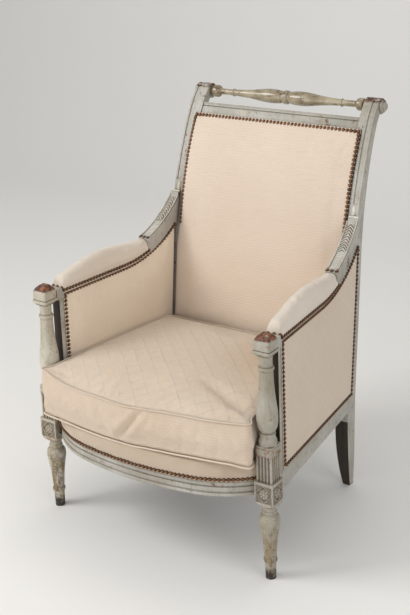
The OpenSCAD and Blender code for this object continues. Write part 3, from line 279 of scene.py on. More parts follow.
def worn_paint(name, pale, deep, wood, wear=0.5, worn_over=None, leg=0.0, shade_and_grime=0.85, in_cuts=0.78):
    """Old grey paint: brush streaks, painted shade in the corners and the carving's hollows, and wood
    showing where hands rub. Over the height worn_over it is rubbed off, and leg says how stained and
    chipped it is towards the floor."""
    finish = Finish(name)
    drift = finish.grain(7, 4)
    streak = finish.grain(70, 5, 0.7, (1, 1, 0.14))
    blotch = finish.grain(38, 5, 0.72, shift=(3, 1, 2))
    colour = finish.mix(drift.limit(0.36, 0.64), pale, deep)
    colour = finish.mix(streak.limit(0.44, 0.72) * 0.5, colour, linear(148, 136, 112))
    smut = finish.grain(150, 4, 0.8, (1, 1, 0.5), shift=(4, 4, 8)).limit(0.55, 0.66)
    colour = finish.mix(smut * 0.6, colour, linear(126, 110, 86))
    colour = finish.mix(blotch.limit(0.60, 0.72) * 0.7, colour, linear(124, 104, 78))
    yellowed = finish.grain(24, 3, shift=(7, 5, 1)).limit(0.58, 0.72)
    colour = finish.mix(yellowed * 0.35, colour, linear(192, 180, 146))
    face = finish.node("NewGeometry", {}, {}, "Normal")
    rounded = finish.node("Bevel", {"samples": 6}, {"Radius": 0.0016})
    flat = finish.node("VectorMath", {"operation": "DOT_PRODUCT"}, {0: rounded, 1: face}, "Value")
    edge = (1 - flat).limit(0.012, 0.10)
    shade = finish.node("AmbientOcclusion", {"samples": 8}, {"Distance": reach_of_painted_shade}, "AO")
    rub = finish.grain(90, 5, 0.7, shift=(1, 4, 2)).limit(0.5 - 0.14 * wear, 0.62)
    chip = finish.grain(26, 6, 0.78, shift=(9, 2, 6)).limit(0.632 - 0.02 * wear, 0.655)
    speck = finish.grain(130, 3, 0.7, shift=(5, 9, 3)).limit(0.655, 0.685)
    bare = (edge * rub * shade.limit(0.45, 0.8)).maths("MAXIMUM", chip * 0.85).maths("MAXIMUM", speck * 0.8)
    height = finish.node("SeparateXYZ", {}, {0: finish.node("TexCoord", {}, {}, "Object")}, "Z")
    wood_tone = finish.mix(finish.grain(60, 3, 0.6, (1, 1, 0.3)).limit(0.35, 0.65), wood, linear(88, 56, 38))
    if worn_over:
        over = (height + blotch * 0.012).limit(worn_over + 0.003, worn_over + 0.008)
        gone = finish.grain(75, 4, 0.8, shift=(2, 7, 5)).limit(0.48 - 0.14 * wear, 0.54 - 0.08 * wear)
        bare = bare.maths("MAXIMUM", over * gone)
        wood_tone = finish.mix(over * finish.grain(110, 3, shift=(8, 1, 1)).limit(0.40, 0.56), wood_tone,
                               linear(74, 42, 30))
    if leg:
        rubbed = finish.grain(44, 5, 0.75, shift=(6, 6, 2)).limit(0.47, 0.60)
        for low, high in ((0.180, 0.190), (0.300, 0.316)):
            band = (height - low).maths("ABSOLUTE").limit(0.0, high - low)
            bare = bare.maths("MAXIMUM", (1 - band) * rubbed * 0.9)
        stain = finish.grain(64, 6, 0.8, (1, 1, 0.4), shift=(1, 8, 8)).limit(0.42, 0.58)
        old = (1 - height.limit(0.06, 0.20)) * stain
        colour = finish.mix(old * (0.6 * leg), colour, linear(132, 112, 76))
        spots = finish.grain(120, 4, 0.8, shift=(9, 1, 5)).limit(0.60 - 0.05 * leg, 0.64)
        colour = finish.mix(spots * (1 - height.limit(0.04, 0.24)) * 0.85, colour, linear(70, 56, 40))
    colour = finish.mix(bare, colour, wood_tone)
    if leg:
        foot = 1 - (height + streak * 0.018).limit(0.026, 0.040)
        foot_chip = finish.grain(85, 4, 0.8, shift=(3, 3, 9)).limit(0.54, 0.58)
        colour = finish.mix(foot * (1 - foot_chip * 0.75), colour, linear(44, 36, 28))
    # Painted shade and dirt: the paint is darkened in corners that the occlusion finds, and by each point's
    # carving mark, which stands for shade in hollows and grooves and for some old dirt.
    carved = finish.node("Attribute", {"attribute_name": "cut"}, {}, "Fac")
    dirt_and_shade = (1 - shade.limit(0.22, 0.86)).maths("MAXIMUM", carved.limit(0.35, 2.1) * in_cuts)
    colour = finish.mix(dirt_and_shade * shade_and_grime, colour, linear(80, 62, 44))
    relief = streak * 0.25 + blotch * 0.3 - bare * 0.9
    return finish.close(colour, gloss_of_paint + bare * 0.2 - drift * 0.1, bump=relief, bump_depth=0.0005)


capital_shoulder, scroll_shoulder = 0.5575, 0.933
grey_paint = worn_paint("worn_grey_paint", linear(180, 177, 170), linear(156, 152, 142),
                        linear(132, 98, 68), worn_over=scroll_shoulder)
# The carving has a paler copy of the paint: painted light on its raised ridges, with stronger painted shade
# in its hollows.
carved_paint = worn_paint("worn_grey_carved_paint", linear(218, 215, 206), linear(194, 189, 176),
                          linear(140, 98, 66), 0.6, shade_and_grime=0.95, in_cuts=1.0)
post_paint = worn_paint("worn_grey_post_paint", linear(172, 168, 158), linear(150, 144, 129),
                        linear(158, 92, 50), 0.9, worn_over=capital_shoulder, leg=1.3, shade_and_grime=0.95)
# The left post has its own copy of the paint: paler, and much darker and more spotted towards the floor.
# These differences from the right post are painted light and shade, with some staining in the darker leg.
left_post_paint = worn_paint("worn_grey_left_post_paint", linear(200, 195, 182), linear(178, 171, 154),
                             linear(158, 94, 54), 0.9, worn_over=capital_shoulder, leg=2.6, shade_and_grime=0.95)

leg_radius, leg_rise = 23, 178
leg_outline = [(0.50, 0), (0.53, 0.16), (0.55, 0.22), (0.64, 0.232), (0.66, 0.25), (0.64, 0.268),
               (0.575, 0.28), (0.61, 0.36), (0.67, 0.46), (0.75, 0.56), (0.87, 0.66), (0.975, 0.74),
               (1, 0.79), (0.95, 0.835), (0.82, 0.865), (0.66, 0.88), (0.69, 0.895), (0.70, 0.91),
               (0.66, 0.925), (0.62, 0.93), (0.62, 0.97), (0.66, 1)]
baluster_radius, baluster_foot, baluster_rise = 23.25, 320, 202
baluster_outline = [(0.84, 0), (0.86, 0.03), (0.85, 0.05), (0.76, 0.075), (0.70, 0.10), (0.70, 0.11),
                    (0.75, 0.12), (0.75, 0.135), (0.64, 0.145), (0.76, 0.165), (0.89, 0.195), (0.97, 0.24),
                    (1, 0.29), (0.99, 0.34), (0.945, 0.405), (0.87, 0.465), (0.78, 0.555), (0.70, 0.655),
                    (0.66, 0.75), (0.645, 0.828), (0.70, 0.840), (0.745, 0.857), (0.70, 0.874),
                    (0.60, 0.885), (0.60, 0.97), (0.64, 1)]
capital_half, capital_foot, capital_rise = 21, 522, 50
capital_outline = [(0.72, 0), (0.82, 0.06), (0.97, 0.12), (1, 0.15), (1, 0.25), (0.935, 0.272), (0.935, 0.29),
                   (0.95, 0.31), (0.95, 0.60), (0.90, 0.68), (0.78, 0.79), (0.55, 0.90), (0.30, 0.97),
                   (0.12, 1)]
die_half, die_foot, die_top = 23, 178, 237
flute_half, flute_top, flute_radius, flute_depth, flute_pitch = 19, 298.4, 2.6, 2.3, 8
cap_half = 20
flute_places, flute_steps = (-1.5, -0.5, 0.5, 1.5), (-2.55, -2.3, -1.6, 0, 1.6, 2.3, 2.55)
across_face = sorted([-1.0, -0.975, -0.93, -0.87, -0.81, 0.81, 0.87, 0.93, 0.975]
                     + [(c * flute_pitch + s) / flute_half for c in flute_places for s in flute_steps]
                     + [c * flute_pitch / flute_half for c in (-1, 0, 1)])


def flute_cut(u, z):
    """Depth of a flute that runs down through the block's top and ends round under the cap."""
    side = min(abs(u * flute_half - c * flute_pitch) for c in flute_places)
    over = max(0.0, z - (flute_top - 1 - flute_radius))
    left = flute_radius ** 2 - side ** 2 - over ** 2
    return max(0.0, math.sqrt(left) - (flute_radius - flute_depth)) if left > 0 else 0.0


def lozenge_cut(u, z):
    """Depth of the carving on the block: a framed lozenge with a rosette, and rayed corners."""
    v = (z - (die_foot + die_top + 4) / 2) / 23
    reach = abs(u) + abs(v)
    if max(abs(u), abs(v)) > 0.93:
        return 0.0
    if abs(reach - 0.88) < 0.06 or max(abs(u), abs(v)) > 0.86:
        return 0.15
    if reach > 0.88:
        ray = 0.5 + 0.5 * math.cos((abs(u) - abs(v)) * 26)
        return 1.3 + 0.9 * ray
    radius = math.hypot(u, v)
    if radius < 0.13:
        return 0.2 + 6 * radius
    if radius < 0.5:
        petal = abs(math.cos(4 * math.atan2(v, u)))
        return 2.1 - 1.7 * petal * (1 - ((radius - 0.3) / 0.24) ** 2)
    hole = min(math.hypot(abs(u) - 0.62, v), math.hypot(u, abs(v) - 0.62))
    return 3.4 if hole < 0.1 else 2.1


def arched_cut(u, z):
    """Depth of the shallower carving on the block's other faces: a banded frame."""
    v = (z - (die_foot + die_top + 4) / 2) / 23
    edge = max(abs(u), abs(v))
    if edge > 0.88:
        return 0.0
    band = abs(abs(u) + abs(v) - 0.86)
    if band < 0.07:
        return 0.35
    return 1.2 if abs(u) + abs(v) > 0.86 else 0.9 + 0.5 * math.cos(12 * math.hypot(u, v))


def post_ring(half, z, square, cut=None, corner=34.0, limit=None, dirt_and_shade=0.0):
    """One ring of the post, round or square, with a carving cut into its four faces."""
    ring = []
    for face in range(4):
        turn = Matrix.Rotation(face * math.pi / 2, 2)
        for u in across_face:
            if square:
                q = (1 + abs(u) ** corner) ** (1 / corner)
                depth = cut(face, u, z) if cut else 0.0
                point = Vector((half / q - depth, u * half / q))
                if limit and point.length > limit:
                    point *= limit / point.length
            else:
                point = Vector((1, u)).normalized() * half
            point = turn @ point
            ring.append(place(post_out + point.x, point.y, z))
            cuts.append(max(depth, dirt_and_shade) if square else dirt_and_shade)
    return ring


def carved(face, u, z):
    """Depth of the carving on one of the post's four faces. The first and last look out and forward."""
    if z > die_top:
        return flute_cut(u, z)
    return lozenge_cut(u, z) if face in (0, 3) else arched_cut(u, z)


cuts = []
rings = [post_ring(r * leg_radius, z * leg_rise, False) for r, z in eased(leg_outline, 4)]
corner_reach, neck_reach = die_half * math.sqrt(2) + 1, leg_radius * 0.66
cut_rise = (die_top - die_foot) * 0.2
for step in range(51):
    z = die_foot + (die_top - die_foot) * step / 50
    if z < die_foot + cut_rise / 2:
        limit = neck_reach + (corner_reach - neck_reach) * 0.7 * (z - die_foot) / (cut_rise / 2)
    else:
        limit = neck_reach + (corner_reach - neck_reach) * (
            0.7 + 0.3 * min(1, (z - die_foot - cut_rise / 2) / (1.1 * cut_rise)))
    rings.append(post_ring(die_half, z, True, carved if z > die_foot + 9 else None, limit=limit))
rings.append(post_ring(flute_half, die_top + 0.01, True, carved))
flute_heights = [die_top + (flute_top - 5 - die_top) * s / 14 for s in range(1, 15)] + [
    flute_top - 4.2 + 0.42 * s for s in range(0, 11)]
rings += [post_ring(flute_half, z, True, carved) for z in flute_heights]
rings += [post_ring(half, z, True, corner=26) for half, z in (
    (cap_half - 0.5, flute_top + 0.1), (cap_half, flute_top + 0.7), (cap_half, baluster_foot - 6),
    (cap_half - 0.9, baluster_foot - 5.4), (cap_half - 0.9, baluster_foot - 4.2),
    (cap_half, baluster_foot - 3.6), (cap_half, baluster_foot - 0.7), (cap_half - 0.7, baluster_foot))]
# The grooves under the baluster's rings, and the capital's groove and foot, are darkened as painted shade and
# old dirt.
rings += [post_ring(r * baluster_radius, baluster_foot + z * baluster_rise, False,
                    dirt_and_shade=1.3 if 0.874 < z < 0.90 or 0.134 < z < 0.148 or 0.822 < z < 0.834 else 0.0)
          for r, z in eased(baluster_outline, 4)]
rings += [post_ring(half * capital_half, capital_foot + z * capital_rise, True, corner=11.0,
                    dirt_and_shade=1.9 if 0.26 < z < 0.30 or z < 0.07 else 0.5)
          for half, z in eased(capital_outline, 3)]
post_right = mesh_piece("front_post_right_carved", *skin(rings), post_paint)
# Each point keeps its depth in the carving or its groove's darkness, which the paint darkens as painted shade
# and old dirt.
cut_layer = post_right.data.attributes.new("cut", "FLOAT", "POINT")
cut_layer.data.foreach_set("value", cuts + [0.0, 0.0])
post_left = mirrored(post_right, "front_post_left_carved")
post_left.data.materials[0] = left_post_paint
for piece, node in ((post_right, "front_post_right"), (post_left, "front_post_left")):
    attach(piece, "chair")
    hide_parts(node)


# The sawn and planed parts of the frame, tenoned and glued: back stiles in one with the sabre legs
# and the scrolls, seat rails, arms, back rails, and the thin uprights behind the posts. Sanding and
# wear have eased every arris. The fronts of the uprights and of the lower legs are bare wood, made near-black
# as painted shade.
def eased_copy(node, name, finish, width=0.9, angle=24):
    """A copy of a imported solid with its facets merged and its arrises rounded."""
    piece = nodes[node].copy()
    piece.data = nodes[node].data.copy()
    piece.name = piece.data.name = name
    piece.parent = None
    for key in list(piece.keys()):
        del piece[key]
    bpy.context.collection.objects.link(piece)
    work = bmesh.new()
    work.from_mesh(piece.data)
    bmesh.ops.remove_doubles(work, verts=work.verts, dist=1e-5)
    bmesh.ops.dissolve_limit(work, angle_limit=math.radians(0.6), verts=work.verts, edges=work.edges)
    sharp = [e for e in work.edges if len(e.link_faces) == 2 and e.calc_face_angle(0) > math.radians(angle)]
    bmesh.ops.bevel(work, geom=sharp, offset=width * mm, segments=2, profile=0.6, affect="EDGES",
                    clamp_overlap=True)
    for face in work.faces:
        face.smooth = True
    work.to_mesh(piece.data)
    work.free()
    piece.data.set_sharp_from_angle(angle=math.radians(40))
    piece.data.materials.clear()
    piece.data.materials.append(finish)
    return piece


def paint_sides(piece, finish, chosen):
    """Gives the faces that are chosen a second finish."""
    piece.data.materials.append(finish)
    for face in piece.data.polygons:
        if chosen(face):
            face.material_index = 1


# Bare wood, made near-black as painted shade: it goes on the fronts of the uprights and the lower legs, which
# lie in shade, and on the slot in each arm's carving.
bare_wood_and_shade = Finish("dark_stripped_wood")
grain_line = bare_wood_and_shade.grain(120, 4, 0.6, (1, 1, 0.08))
bare_wood_and_shade.close(bare_wood_and_shade.mix(grain_line.limit(0.3, 0.7), linear(52, 38, 25), linear(26, 19, 12)), 0.6,
                bump=grain_line, bump_depth=0.0004)
dark_up_to = 0.185
for node in ("back_stile_right", "back_stile_left", "front_seat_rail", "side_seat_rail_right",
             "side_seat_rail_left", "rear_seat_rail", "arm_right", "arm_left", "back_top_rail",
             "back_lower_rail"):
    piece = eased_copy(node, node + "_eased", grey_paint)
    # The fronts of the sabre legs low down get the near-black bare wood, as painted shade.
    if node.startswith("back_stile"):
        paint_sides(piece, bare_wood_and_shade.material,
                    lambda face: face.normal.y < -0.6 and face.center.z < dark_up_to)
    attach(piece, "chair")
    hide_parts(node)
# The uprights' fronts are near-black bare wood as painted shade, and their sides are grey paint.
for node in ("panel_upright_right", "panel_upright_left"):
    piece = eased_copy(node, node + "_eased", bare_wood_and_shade.material)
    paint_sides(piece, grey_paint, lambda face: abs(face.normal.y) < 0.5)
    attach(piece, "chair")
    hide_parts(node)


# The crest spindle is turned between the scrolls in a browner, glossier paint. A turned button is
# glued on the outer end of each scroll.
def lathe(outline, centre, around=48):
    """Rings for a turning whose axis runs across the chair. Points are radius and distance."""
    return [[centre + Vector((distance * mm, math.cos(a) * radius * mm, math.sin(a) * radius * mm))
             for a in (2 * math.pi * k / around for k in range(around))] for radius, distance in outline]


scroll_y, scroll_z, scroll_radius = 611.9, 921.57, 19
spindle_half, spindle_radius = 223.5, 18
spindle_outline = [(0.97, 0), (0.98, 0.012), (0.94, 0.026), (0.80, 0.036), (0.76, 0.044), (0.80, 0.053),
                   (0.87, 0.065), (0.94, 0.10), (0.99, 0.15), (1, 0.20), (0.965, 0.26), (0.86, 0.33),
                   (0.74, 0.40), (0.63, 0.47), (0.54, 0.56), (0.48, 0.64), (0.46, 0.677), (0.53, 0.684),
                   (0.57, 0.695), (0.53, 0.706), (0.45, 0.713), (0.43, 0.84), (0.50, 0.872), (0.66, 0.884),
                   (0.84, 0.90), (0.88, 0.93), (0.84, 0.96), (0.66, 0.972), (0.60, 0.985), (0.62, 1)]
half_line = [(r * spindle_radius, d * spindle_half) for r, d in eased(spindle_outline, 5)]
spindle_line = [(r, -d) for r, d in reversed(half_line)] + half_line[1:]
spindle_paint = Finish("aged_spindle_paint")
cloud = spindle_paint.grain(20, 4)
fleck = spindle_paint.grain(70, 5, 0.75, (0.5, 1, 1), shift=(2, 2, 2))
tone = spindle_paint.mix(cloud.limit(0.35, 0.65), linear(170, 159, 134), linear(134, 119, 93))
tone = spindle_paint.mix(fleck.limit(0.53, 0.63) * 0.85, tone, linear(92, 72, 50))
# Painted shade browns the hollows and ends of the turning.
hollow_shade = 1 - spindle_paint.node("AmbientOcclusion", {"samples": 8}, {"Distance": 0.012}, "AO").limit(0.3, 0.9)
tone = spindle_paint.mix(hollow_shade * 0.8, tone, linear(84, 62, 40))
spindle_paint.close(tone, 0.24 + fleck * 0.2, bump=fleck + cloud, bump_depth=0.0004, Coat_Weight=0.6)
spindle = mesh_piece("crest_spindle_turned", *skin(lathe(spindle_line, place(0, scroll_y, scroll_z))),
                     spindle_paint.material)
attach(spindle, "chair")
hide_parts("crest_spindle")

button_outline = [(0.98, 0), (1, 0.12), (0.98, 0.34), (0.90, 0.42), (0.74, 0.46), (0.66, 0.52), (0.64, 0.66),
                  (0.55, 0.84), (0.38, 0.96), (0.16, 1)]
button_low, button_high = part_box("scroll_button_right")
button_line = [(r * scroll_radius * 0.86, d * (button_high.x - button_low.x) / mm) for r, d in
               eased(button_outline, 4)]
button_foot = Vector((button_low.x, 0, 0)) + place(0, scroll_y, scroll_z)
button_right = mesh_piece("scroll_button_right_turned", *skin(lathe(button_line, button_foot)), grey_paint)
button_left = mirrored(button_right, "scroll_button_left_turned")
for piece, node in ((button_right, "scroll_button_right"), (button_left, "scroll_button_left")):
    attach(piece, "chair")
    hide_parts(node)


# The carving of the arms and stiles, cut in the same beech and painted over: leaves above reeds up
# the sweep of each arm between two beads, a ring at its top with a thin near-black band below it
# that paints the shade of a slot, and an almond drop on the front of the stile.
side_run, side_narrows = 420, 38
splay = math.atan(side_narrows / side_run)
sweep_y, sweep_z, sweep_radius = 255, 864, 289


def side_place(x, y, z, side=1):
    """A point in a side frame's own axes: X out of the chair, Y back along the side."""
    return place(side * (post_out + x * math.cos(splay) - y * math.sin(splay)),
                 x * math.sin(splay) + y * math.cos(splay), z)


def side_way(x, y, z, side=1):
    """A direction in a side frame's own axes."""
    return Vector((side * (x * math.cos(splay) - y * math.sin(splay)),
                   x * math.sin(splay) + y * math.cos(splay), z))


def line_tree():
    """Geometry Nodes that set a small piece at even distances along lines, facing outwards."""
    tree = bpy.data.node_groups.new("set_along_line", "GeometryNodeTree")
    sockets = (("Geometry", "INPUT", "NodeSocketGeometry"), ("Piece", "INPUT", "NodeSocketObject"),
               ("Spacing", "INPUT", "NodeSocketFloat"), ("Unevenness", "INPUT", "NodeSocketFloat"),
               ("Finish", "INPUT", "NodeSocketMaterial"), ("Geometry", "OUTPUT", "NodeSocketGeometry"))
    for name, way, kind in sockets:
        tree.interface.new_socket(name=name, in_out=way, socket_type=kind)

    def node(kind, settings=None, inputs=None):
        made = tree.nodes.new(kind)
        for key, value in (settings or {}).items():
            setattr(made, key, value)
        for key, value in (inputs or {}).items():
            if isinstance(value, bpy.types.NodeSocket):
                tree.links.new(value, made.inputs[key])
            else:
                made.inputs[key].default_value = value
        return made

    given = node("NodeGroupInput").outputs
    line = node("GeometryNodeMeshToCurve", {}, {"Mesh": given["Geometry"]})
    even = node("GeometryNodeResampleCurve", {"mode": "LENGTH"},
                {"Curve": line.outputs[0], "Length": given["Spacing"]})
    outward = node("GeometryNodeInputNamedAttribute", {"data_type": "FLOAT_VECTOR"}, {"Name": "outward"})
    facing = node("FunctionNodeAlignRotationToVector", {"axis": "Z"}, {"Vector": outward.outputs[0]})
    along = node("FunctionNodeAlignRotationToVector", {"axis": "X", "pivot_axis": "Z"},
                 {"Rotation": facing.outputs[0], "Vector": node("GeometryNodeInputTangent").outputs[0]})
    small = node("ShaderNodeMath", {"operation": "SUBTRACT"}, {0: 1.0, 1: given["Unevenness"]})
    size = node("FunctionNodeRandomValue", {"data_type": "FLOAT"}, {2: small.outputs[0], 3: 1.0, "Seed": 7})
    source = node("GeometryNodeObjectInfo", {"transform_space": "ORIGINAL"}, {"Object": given["Piece"]})
    placed = node("GeometryNodeInstanceOnPoints", {}, {
        "Points": even.outputs[0], "Instance": source.outputs["Geometry"], "Rotation": along.outputs[0],
        "Scale": size.outputs[1]})
    real = node("GeometryNodeRealizeInstances", {}, {0: placed.outputs[0]})
    coated = node("GeometryNodeSetMaterial", {}, {"Geometry": real.outputs[0], "Material": given["Finish"]})
    node("NodeGroupOutput", {}, {0: coated.outputs[0]})
    return tree


set_along_line = line_tree()


def set_along(name, lines, pattern, spacing, finish, unevenness=0.0):
    """A mesh of one small piece repeated along lines of (point, outward direction) pairs."""
    mesh = bpy.data.meshes.new(name)
    points, edges, ways = [], [], []
    for line in lines:
        edges += [(len(points) + i, len(points) + i + 1) for i in range(len(line) - 1)]
        points += [tuple(p) for p, way in line]
        ways += [tuple(way.normalized()) for p, way in line]
    mesh.from_pydata(points, edges, [])
    attribute = mesh.attributes.new("outward", "FLOAT_VECTOR", "POINT")
    attribute.data.foreach_set("vector", [v for way in ways for v in way])
    carrier = bpy.data.objects.new(name + "_line", mesh)
    bpy.context.collection.objects.link(carrier)
    modifier = carrier.modifiers.new("set_along_line", "NODES")
    modifier.node_group = set_along_line
    values = {"Piece": pattern, "Spacing": spacing * mm, "Unevenness": unevenness, "Finish": finish}
    for item in set_along_line.interface.items_tree:
        if item.in_out == "INPUT" and item.name in values:
            modifier[item.identifier] = values[item.name]
    bpy.context.view_layer.update()
    result = bpy.data.meshes.new_from_object(carrier.evaluated_get(bpy.context.evaluated_depsgraph_get()))
    bpy.data.objects.remove(carrier)
    piece = bpy.data.objects.new(name, result)
    result.name = name
    for face in result.polygons:
        face.use_smooth = True
    result.set_sharp_from_angle(angle=math.radians(50))
    bpy.context.collection.objects.link(piece)
    return piece


def pattern_piece(name, points, faces, mark, marks):
    """A small piece that Geometry Nodes repeat, with a value at each point that its finish reads. It
    isn't shown itself."""
    mesh = bpy.data.meshes.new(name)
    mesh.from_pydata([tuple(Vector(p) * mm) for p in points], [], faces)
    mesh.attributes.new(mark, "FLOAT", "POINT").data.foreach_set("value", marks)
    return bpy.data.objects.new(name, mesh)


def relief_pattern(name, height, columns, rows, old_dirt=0.0):
    """A closed low relief from a function of its place along and across, both -1 to 1. It keeps how
    deep each point lies, which the paint darkens as painted shade in its hollows, over an even old dirt."""
    points, faces, cuts = [], [], []
    for level in (0, 1):
        for i in range(rows + 1):
            for j in range(columns + 1):
                s, w = 2 * i / rows - 1, 2 * j / columns - 1
                x, y, z = height(s, w)
                points.append((x, y, z if level else -1.0))
                cuts.append(z)
    count = (rows + 1) * (columns + 1)
    for i in range(rows):
        for j in range(columns):
            a, b = i * (columns + 1) + j, (i + 1) * (columns + 1) + j
            faces.append((count + a, count + b, count + b + 1, count + a + 1))
            faces.append((a, a + 1, b + 1, b))
    rim = ([i * (columns + 1) for i in range(rows, 0, -1)] + list(range(columns))
           + [i * (columns + 1) + columns for i in range(rows)]
           + [rows * (columns + 1) + j for j in range(columns, 0, -1)])
    for k, a in enumerate(rim):
        b = rim[(k + 1) % len(rim)]
        faces.append((a, b, count + b, count + a))
    marks = [old_dirt + 0.75 * max(0.0, max(cuts) - 0.5 - z) for z in cuts]
    return pattern_piece(name, points, faces, "cut", marks)


def leaf_shape(s, w):
    """One rib of the leaves: it rises to a point in the middle, where it meets the stem."""
    x = 3.75 * s - 11.0 * abs(w) ** 1.1
    z = 0.4 + 2.9 * math.exp(-(s * 1.65) ** 2) * (1 - 0.12 * abs(w)) + 0.4 * math.exp(-(w * 8) ** 2)
    return x, 11.0 * w, z


def reed_shape(s, w):
    """One reed of the band across the arm."""
    return 3.1 * s - 1.2 * abs(w) ** 1.5, 10.6 * w, -0.2 + 1.3 * math.exp(-(s * 1.9) ** 2)


def bead_shape(s, w):
    """A short length of the bead along the arm's edge."""
    return 2.6 * s, 1.5 * w, 0.2 + 3.6 * math.sqrt(max(0.0, 1 - w * w))


leaf = relief_pattern("leaf_pattern", leaf_shape, 16, 8)
reed = relief_pattern("reed_pattern", reed_shape, 8, 8, 0.8)
bead = relief_pattern("bead_pattern", bead_shape, 6, 2)


def sweep_line(first, last, across, radius=sweep_radius, steps=24):
    """A line up the sweep of the right arm, with the way that its face looks."""
    line = []
    for k in range(steps + 1):
        a = math.radians(first + (last - first) * k / steps)
        way = side_way(0, -math.sin(a), math.cos(a))
        line.append((side_place(across, sweep_y + radius * math.sin(a), sweep_z - radius * math.cos(a)), way))
    return line


def turned_out(piece):
    """The piece with all its faces looking outwards."""
    work = bmesh.new()
    work.from_mesh(piece.data)
    bmesh.ops.recalc_face_normals(work, faces=work.faces)
    work.to_mesh(piece.data)
    work.free()
    return piece


def band_on_sweep(name, first, last, proud, finish):
    """A closed band across the top of the right arm, rounded where it stands proud."""
    rings = []
    for k in range(9):
        a = math.radians(first + (last - first) * k / 8)
        way = side_way(0, -math.sin(a), math.cos(a))
        rise = (0.2 + proud * math.sqrt(max(0.0, 1 - 0.98 * (k / 4 - 1) ** 2))) * mm
        y, z = sweep_y + sweep_radius * math.sin(a), sweep_z - sweep_radius * math.cos(a)
        low, high = side_place(-12.9, y, z), side_place(11.2, y, z)
        rings.append([low + way * rise, high + way * rise, high - way * 1.2 * mm, low - way * 1.2 * mm])
    return turned_out(mesh_piece(name, *skin(rings), finish))


carving = [("arm_leaves", leaf, 7.5, 33.4, 47.6, (-1.2,)), ("arm_reeds", reed, 6.2, 21.0, 31.0, (-1.2,)),
           ("arm_beads", bead, 5.1, 20.6, 48.0, (11.2, -13.6))]
for name, pattern, spacing, first, last, places in carving:
    right = set_along(name + "_right", [sweep_line(first, last, x) for x in places], pattern, spacing,
                      carved_paint)
    left = mirrored(right, name + "_left")
    for piece in (right, left):
        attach(piece, "chair")

bend_centre, bend_radius_back, curl_centre, curl_radius = (1388.08, 445.81), 937, (728.52, 796.51), 190
bend_low, curl_low, rake, rail_top = 560, 885.71, math.radians(7), 250


def back_lean(z):
    """How far the back leans at a height: raked below, then bent, then curled to the scroll."""
    if z <= bend_low:
        return rake
    if z <= curl_low:
        return math.asin((z - bend_centre[1]) / bend_radius_back)
    return math.asin((z - curl_centre[1]) / curl_radius)


def back_place(x, z, depth):
    """A point behind the back's front line by a depth, square to that line."""
    lean = back_lean(z)
    if z <= bend_low:
        y = side_run + (z - rail_top) * math.tan(lean)
    elif z <= curl_low:
        y = bend_centre[0] - bend_radius_back * math.cos(lean)
    else:
        y = curl_centre[0] - curl_radius * math.cos(lean)
    return place(x, y + depth * math.cos(lean), z - depth * math.sin(lean))


drop_z, drop_columns, drop_rows = 690, 10, 14
drop_x = 270.8 - 9 * (drop_z - rail_top) / 671.57 - 13.2


def drop_ring(s, way, sunk=None):
    """Points across the almond drop at a share of its height, proud of the stile or sunk in it."""
    swell = 1 - 0.97 * s * s
    ring = []
    for j in range(drop_columns + 1):
        w = way * (2 * j / drop_columns - 1)
        depth = -3.2 * math.sqrt(max(0.0, (1 - w * w) * swell)) if sunk is None else sunk
        ring.append(back_place(drop_x + 5.4 * w * math.sqrt(swell), drop_z + 14.5 * s, depth))
    return ring


ring_right = band_on_sweep("arm_ring_right", 49.9, 51.3, 3.0, carved_paint)
# A thin near-black band, proud by a hair, paints the shade of the slot under the ring.
slot_shade_right = band_on_sweep("arm_slot_right", 49.0, 49.75, 0.3, bare_wood_and_shade.material)
drop_shares = [2 * i / drop_rows - 1 for i in range(drop_rows + 1)]
drop_right = mesh_piece("stile_drop_right",
                        *skin([drop_ring(s, 1) + drop_ring(s, -1, 1.5) for s in drop_shares]), carved_paint)
for piece in (ring_right, slot_shade_right, drop_right):
    for one in (piece, mirrored(piece, piece.name.replace("right", "left"))):
        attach(one, "chair")


# Inside the seat, as it is built up: glued beech corner blocks, jute webbing tacked to the rails and
# woven over and under, hessian over it, a stitched horsehair roll along the front edge, and
# horsehair stuffing.
raw_beech = Finish("raw_beech")
figure = raw_beech.grain(34, 4, 0.6, (0.25, 1, 1))
raw_beech.close(raw_beech.mix(figure.limit(0.3, 0.7), linear(158, 122, 86), linear(118, 84, 56)), 0.65,
                bump=figure, bump_depth=0.0004)
blocks = eased_copy("corner_blocks", "corner_blocks_eased", raw_beech.material)
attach(blocks, "chair")
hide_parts("corner_blocks")

jute = Finish("jute_webbing")
place_on = jute.node("SeparateXYZ", {}, {0: jute.node("TexCoord", {}, {}, "Object")}, "X")
other = jute.node("SeparateXYZ", {}, {0: jute.node("TexCoord", {}, {}, "Object")}, "Y")
threads = (place_on * 3100).maths("SINE") * (other * 3100).maths("SINE")
jute.close(jute.mix(threads.limit(-0.6, 0.6), linear(150, 120, 78), linear(104, 80, 50)), 0.9, bump=threads,
           bump_depth=0.0004)


def thin_grid(name, at, nu, nv, finish, size):
    """A sheet or strap as a closed skin. at(u, v, level) gives its face (1) and its back (0)."""
    points, faces, cloth = [], [], []
    for level in (1, 0):
        for i in range(nu + 1):
            for j in range(nv + 1):
                points.append(at(i / nu, j / nv, level))
                cloth.append((i / nu * size[0], j / nv * size[1]))
    count = (nu + 1) * (nv + 1)
    for i in range(nu):
        for j in range(nv):
            a, b = i * (nv + 1) + j, (i + 1) * (nv + 1) + j
            faces.append((a, b, b + 1, a + 1))
            faces.append((count + a, count + a + 1, count + b + 1, count + b))
    rim = ([i * (nv + 1) for i in range(nu)] + [nu * (nv + 1) + j for j in range(nv)]
           + [i * (nv + 1) + nv for i in range(nu, 0, -1)] + list(range(nv, 0, -1)))
    for k, a in enumerate(rim):
        b = rim[(k + 1) % len(rim)]
        faces.append((a, count + a, count + b, b))
    return turned_out(mesh_piece(name, points, faces, finish, None, cloth))


strap_half, strap_thick, strap_weave = 0.025, 0.001, 0.0006


